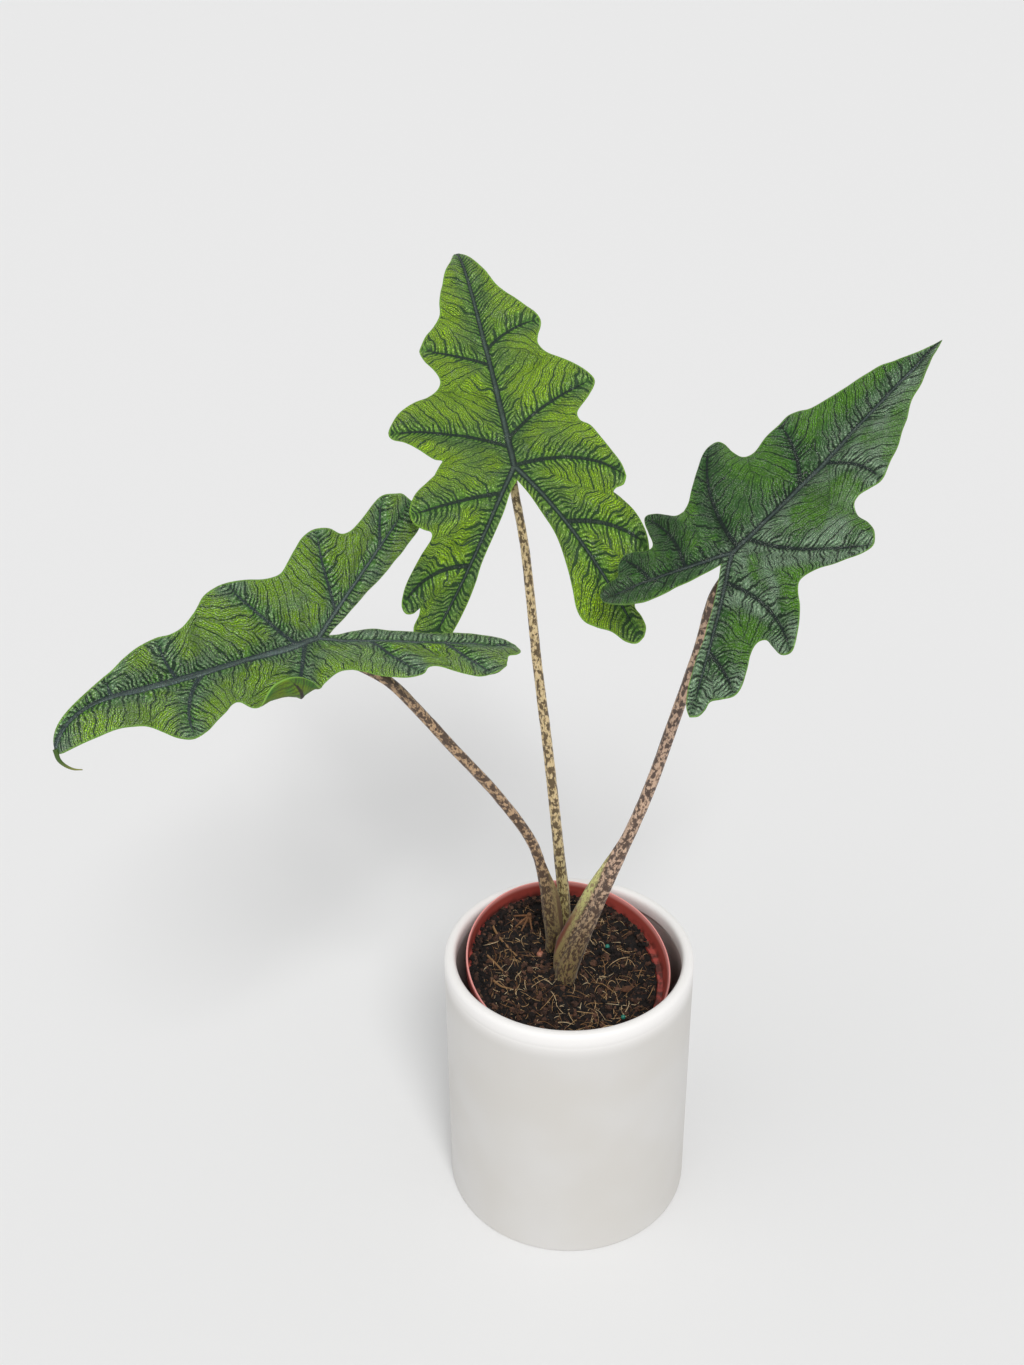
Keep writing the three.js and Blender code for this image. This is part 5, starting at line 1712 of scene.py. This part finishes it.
@dataclass
class Studio:
    """The plain pale stage, its soft lights, and the camera at the photograph's viewing angle."""

    camera_place: Point = (-31.30, -726.41, 762.09)
    pitch_down: float = 29.642
    roll: float = -0.645
    focal_pixels: float = 1589.55
    image_height: int = 1365
    paper: str = "#ebebeb"
    room_light: float = 0.58

    def link(self, name: str, data: bpy.types.ID) -> bpy.types.Object:
        """Put a camera, a light or a mesh into the scene.

        Args:
            name: the object's name.
            data: the camera, light or mesh.

        Returns:
            Its object.
        """
        made = bpy.data.objects.new(name, data)
        bpy.context.scene.collection.objects.link(made)
        return made

    def camera(self) -> None:
        """Set the camera: looking along +Y, pitched down and hardly rolled."""
        p, r = math.radians(self.pitch_down), math.radians(self.roll)
        ahead, level = Vector((0, math.cos(p), -math.sin(p))), Vector((1, 0, 0))
        above = level.cross(ahead)
        right = math.cos(r) * level + math.sin(r) * above
        up = -math.sin(r) * level + math.cos(r) * above
        data = bpy.data.cameras.new("view")
        data.sensor_width = 36
        data.lens = 36 * self.focal_pixels / self.image_height
        data.clip_start = 0.01
        matrix = Matrix((right, up, -ahead)).transposed().to_4x4()
        matrix.translation = Vector(self.camera_place) * MM
        camera = self.link("view", data)
        camera.matrix_world = matrix
        bpy.context.scene.camera = camera

    def sun(self, name: str, towards: Point, softness: float, power: float) -> None:
        """Add a broad, far light.

        Args:
            name: the light's name.
            towards: the direction from the plant to the light.
            softness: the angle that it fills, in degrees.
            power: its strength in watts per square metre.
        """
        data = bpy.data.lights.new(name, "SUN")
        data.angle = math.radians(softness)
        data.energy = power
        self.link(name, data).rotation_euler = Vector(towards).to_track_quat("Z", "Y").to_euler()

    def stage(self) -> None:
        """Lay a pale paper floor that fills the view."""
        mesh = bpy.data.meshes.new("floor")
        mesh.from_pydata([(-9, -4, 0), (9, -4, 0), (9, 14, 0), (-9, 14, 0)], [], [(0, 1, 2, 3)])
        mesh.materials.append(Coat("pale_studio_paper").finish({
            "Base Color": self.paper, "Roughness": 0.9, "Specular IOR Level": 0.1}))
        self.link("floor", mesh)

    def make(self) -> None:
        """Set up camera, lights, world and stage."""
        self.camera()
        self.stage()
        self.sun("key", (0.15, -0.66, 0.73), 18, 1.5)
        self.sun("fill", (-0.62, -0.4, 0.67), 60, 0.28)
        scene = bpy.context.scene
        scene.view_settings.view_transform = "Standard"
        scene.world = bpy.data.worlds.new("soft_room")
        scene.world.use_nodes = True
        background = scene.world.node_tree.nodes["Background"]
        background.inputs[0].default_value = (1, 1, 1, 1)
        background.inputs[1].default_value = self.room_light


def main() -> None:
    """Build and dress the whole plant in its pots."""
    # The centre leaf's lighter, yellower greens are partly painted light, as it is lit through from behind;
    # the right leaf's large grey share on its right half is painted sheen.
    centre = Blade("centre", CENTRE_POSE, CENTRE_LEFT, CENTRE_RIGHT, LeafFinish(
        "leaf_centre", bright="#acdc12", middle="#84b82c", deep="#4f8a24", second="#274827",
        main="#26382f", rib="#5a6e64", bloom_and_sheen_tone="#6c935e", ridge_highlight="#c4e48c", margin="#96c944", sheen=0.03,
        glints=0.35, brightness=0.58, bloom_and_sheen_left=0.45, bloom_and_sheen_right=0.4), seed=3)
    right = Blade("right", RIGHT_POSE, RIGHT_LEFT, RIGHT_RIGHT, LeafFinish(
        "leaf_right", bright="#68ac1e", middle="#3e7e20", deep="#22541f", second="#112b17",
        main="#1a2a26", rib="#5a6b65", bloom_and_sheen_tone="#a0c69c", ridge_highlight="#c4dcb8", margin="#83b54a", sheen=0.02,
        glints=0.9, brightness=0.38, bloom_and_sheen_left=0.1, bloom_and_sheen_right=1.4), seed=13)
    left = Blade("left", LEFT_POSE, LEFT_LEFT, LEFT_RIGHT, LeafFinish(
        "leaf_left", bright="#a3d81c", middle="#64a830", deep="#3d7a2e", second="#1d3a24",
        main="#39494a", rib="#768a84", bloom_and_sheen_tone="#93b492", ridge_highlight="#cdebb4", margin="#8fc04e", sheen=0.04,
        glints=1.0, brightness=0.62, bloom_and_sheen_left=0.6, bloom_and_sheen_right=0.5, ridge_highlights=0.9), seed=23, roll_up=RollUp())
    tan = StemFinish("stem_tan", "#d6bf92", "#a39a62", "#4a3820", "#8f7848", "#b9bd74", "#8a6a3c", 0.42)
    pink = StemFinish("stem_pink", "#d0b096", "#857549", "#3d2a22", "#80634c", "#cccd84", "#6e3d2b", 0.52)
    brown = StemFinish("stem_brown", "#bb9b78", "#857549", "#3c291d", "#6b5038", "#93855a", "#5c4630", 0.58)
    pots = Pots()
    pieces = [
        centre, right, left,
        DripTip(left, ((1.0, -1.0, -4.4), (3.2, -1.2, -7.2), (6.6, -1.2, -9.2), (10.4, -1.0, -9.7))),
        Stem("centre", ((-3.2, 14, 168), (-2.6, 16, 192.5), (-5.2, 21, 222), (-11.5, 33.5, 286),
                        (-17.5, 43, 338.5), (-23.5, 53, 400.5)), (4.2, 3.0, 2.2), centre, tan),
        Stem("right", ((-1.5, 0, 152), (5, -1, 174), (15.5, -6, 206.5), (27, -11.5, 244.5),
                       (41, -16.5, 290), (53, -22, 340), (62.5, -26.5, 381), (68, -31, 413)),
             (6.6, 3.5, 2.6), right, pink, 6.5, 165, 0.42),
        Stem("left", ((-9.5, 16, 165), (-11.5, 11.5, 186), (-14.5, 7, 215), (-20.5, 3, 242.5),
                      (-40, -8.5, 283.5), (-63, -19, 321), (-78.5, -26, 346.5), (-93.5, -33, 369),
                      (-113, -39.5, 385)), (3.8, 2.9, 2.6), left, brown, 6.0, -30, 0.31),
        pots, PebbleBed(pots), Soil(pots), SmallPieces(), Studio()]
    for piece in pieces:
        piece.make()
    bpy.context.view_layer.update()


if __name__ == "__main__":
    logging.basicConfig(level=logging.INFO, format="%(name)s: %(message)s")
    main()
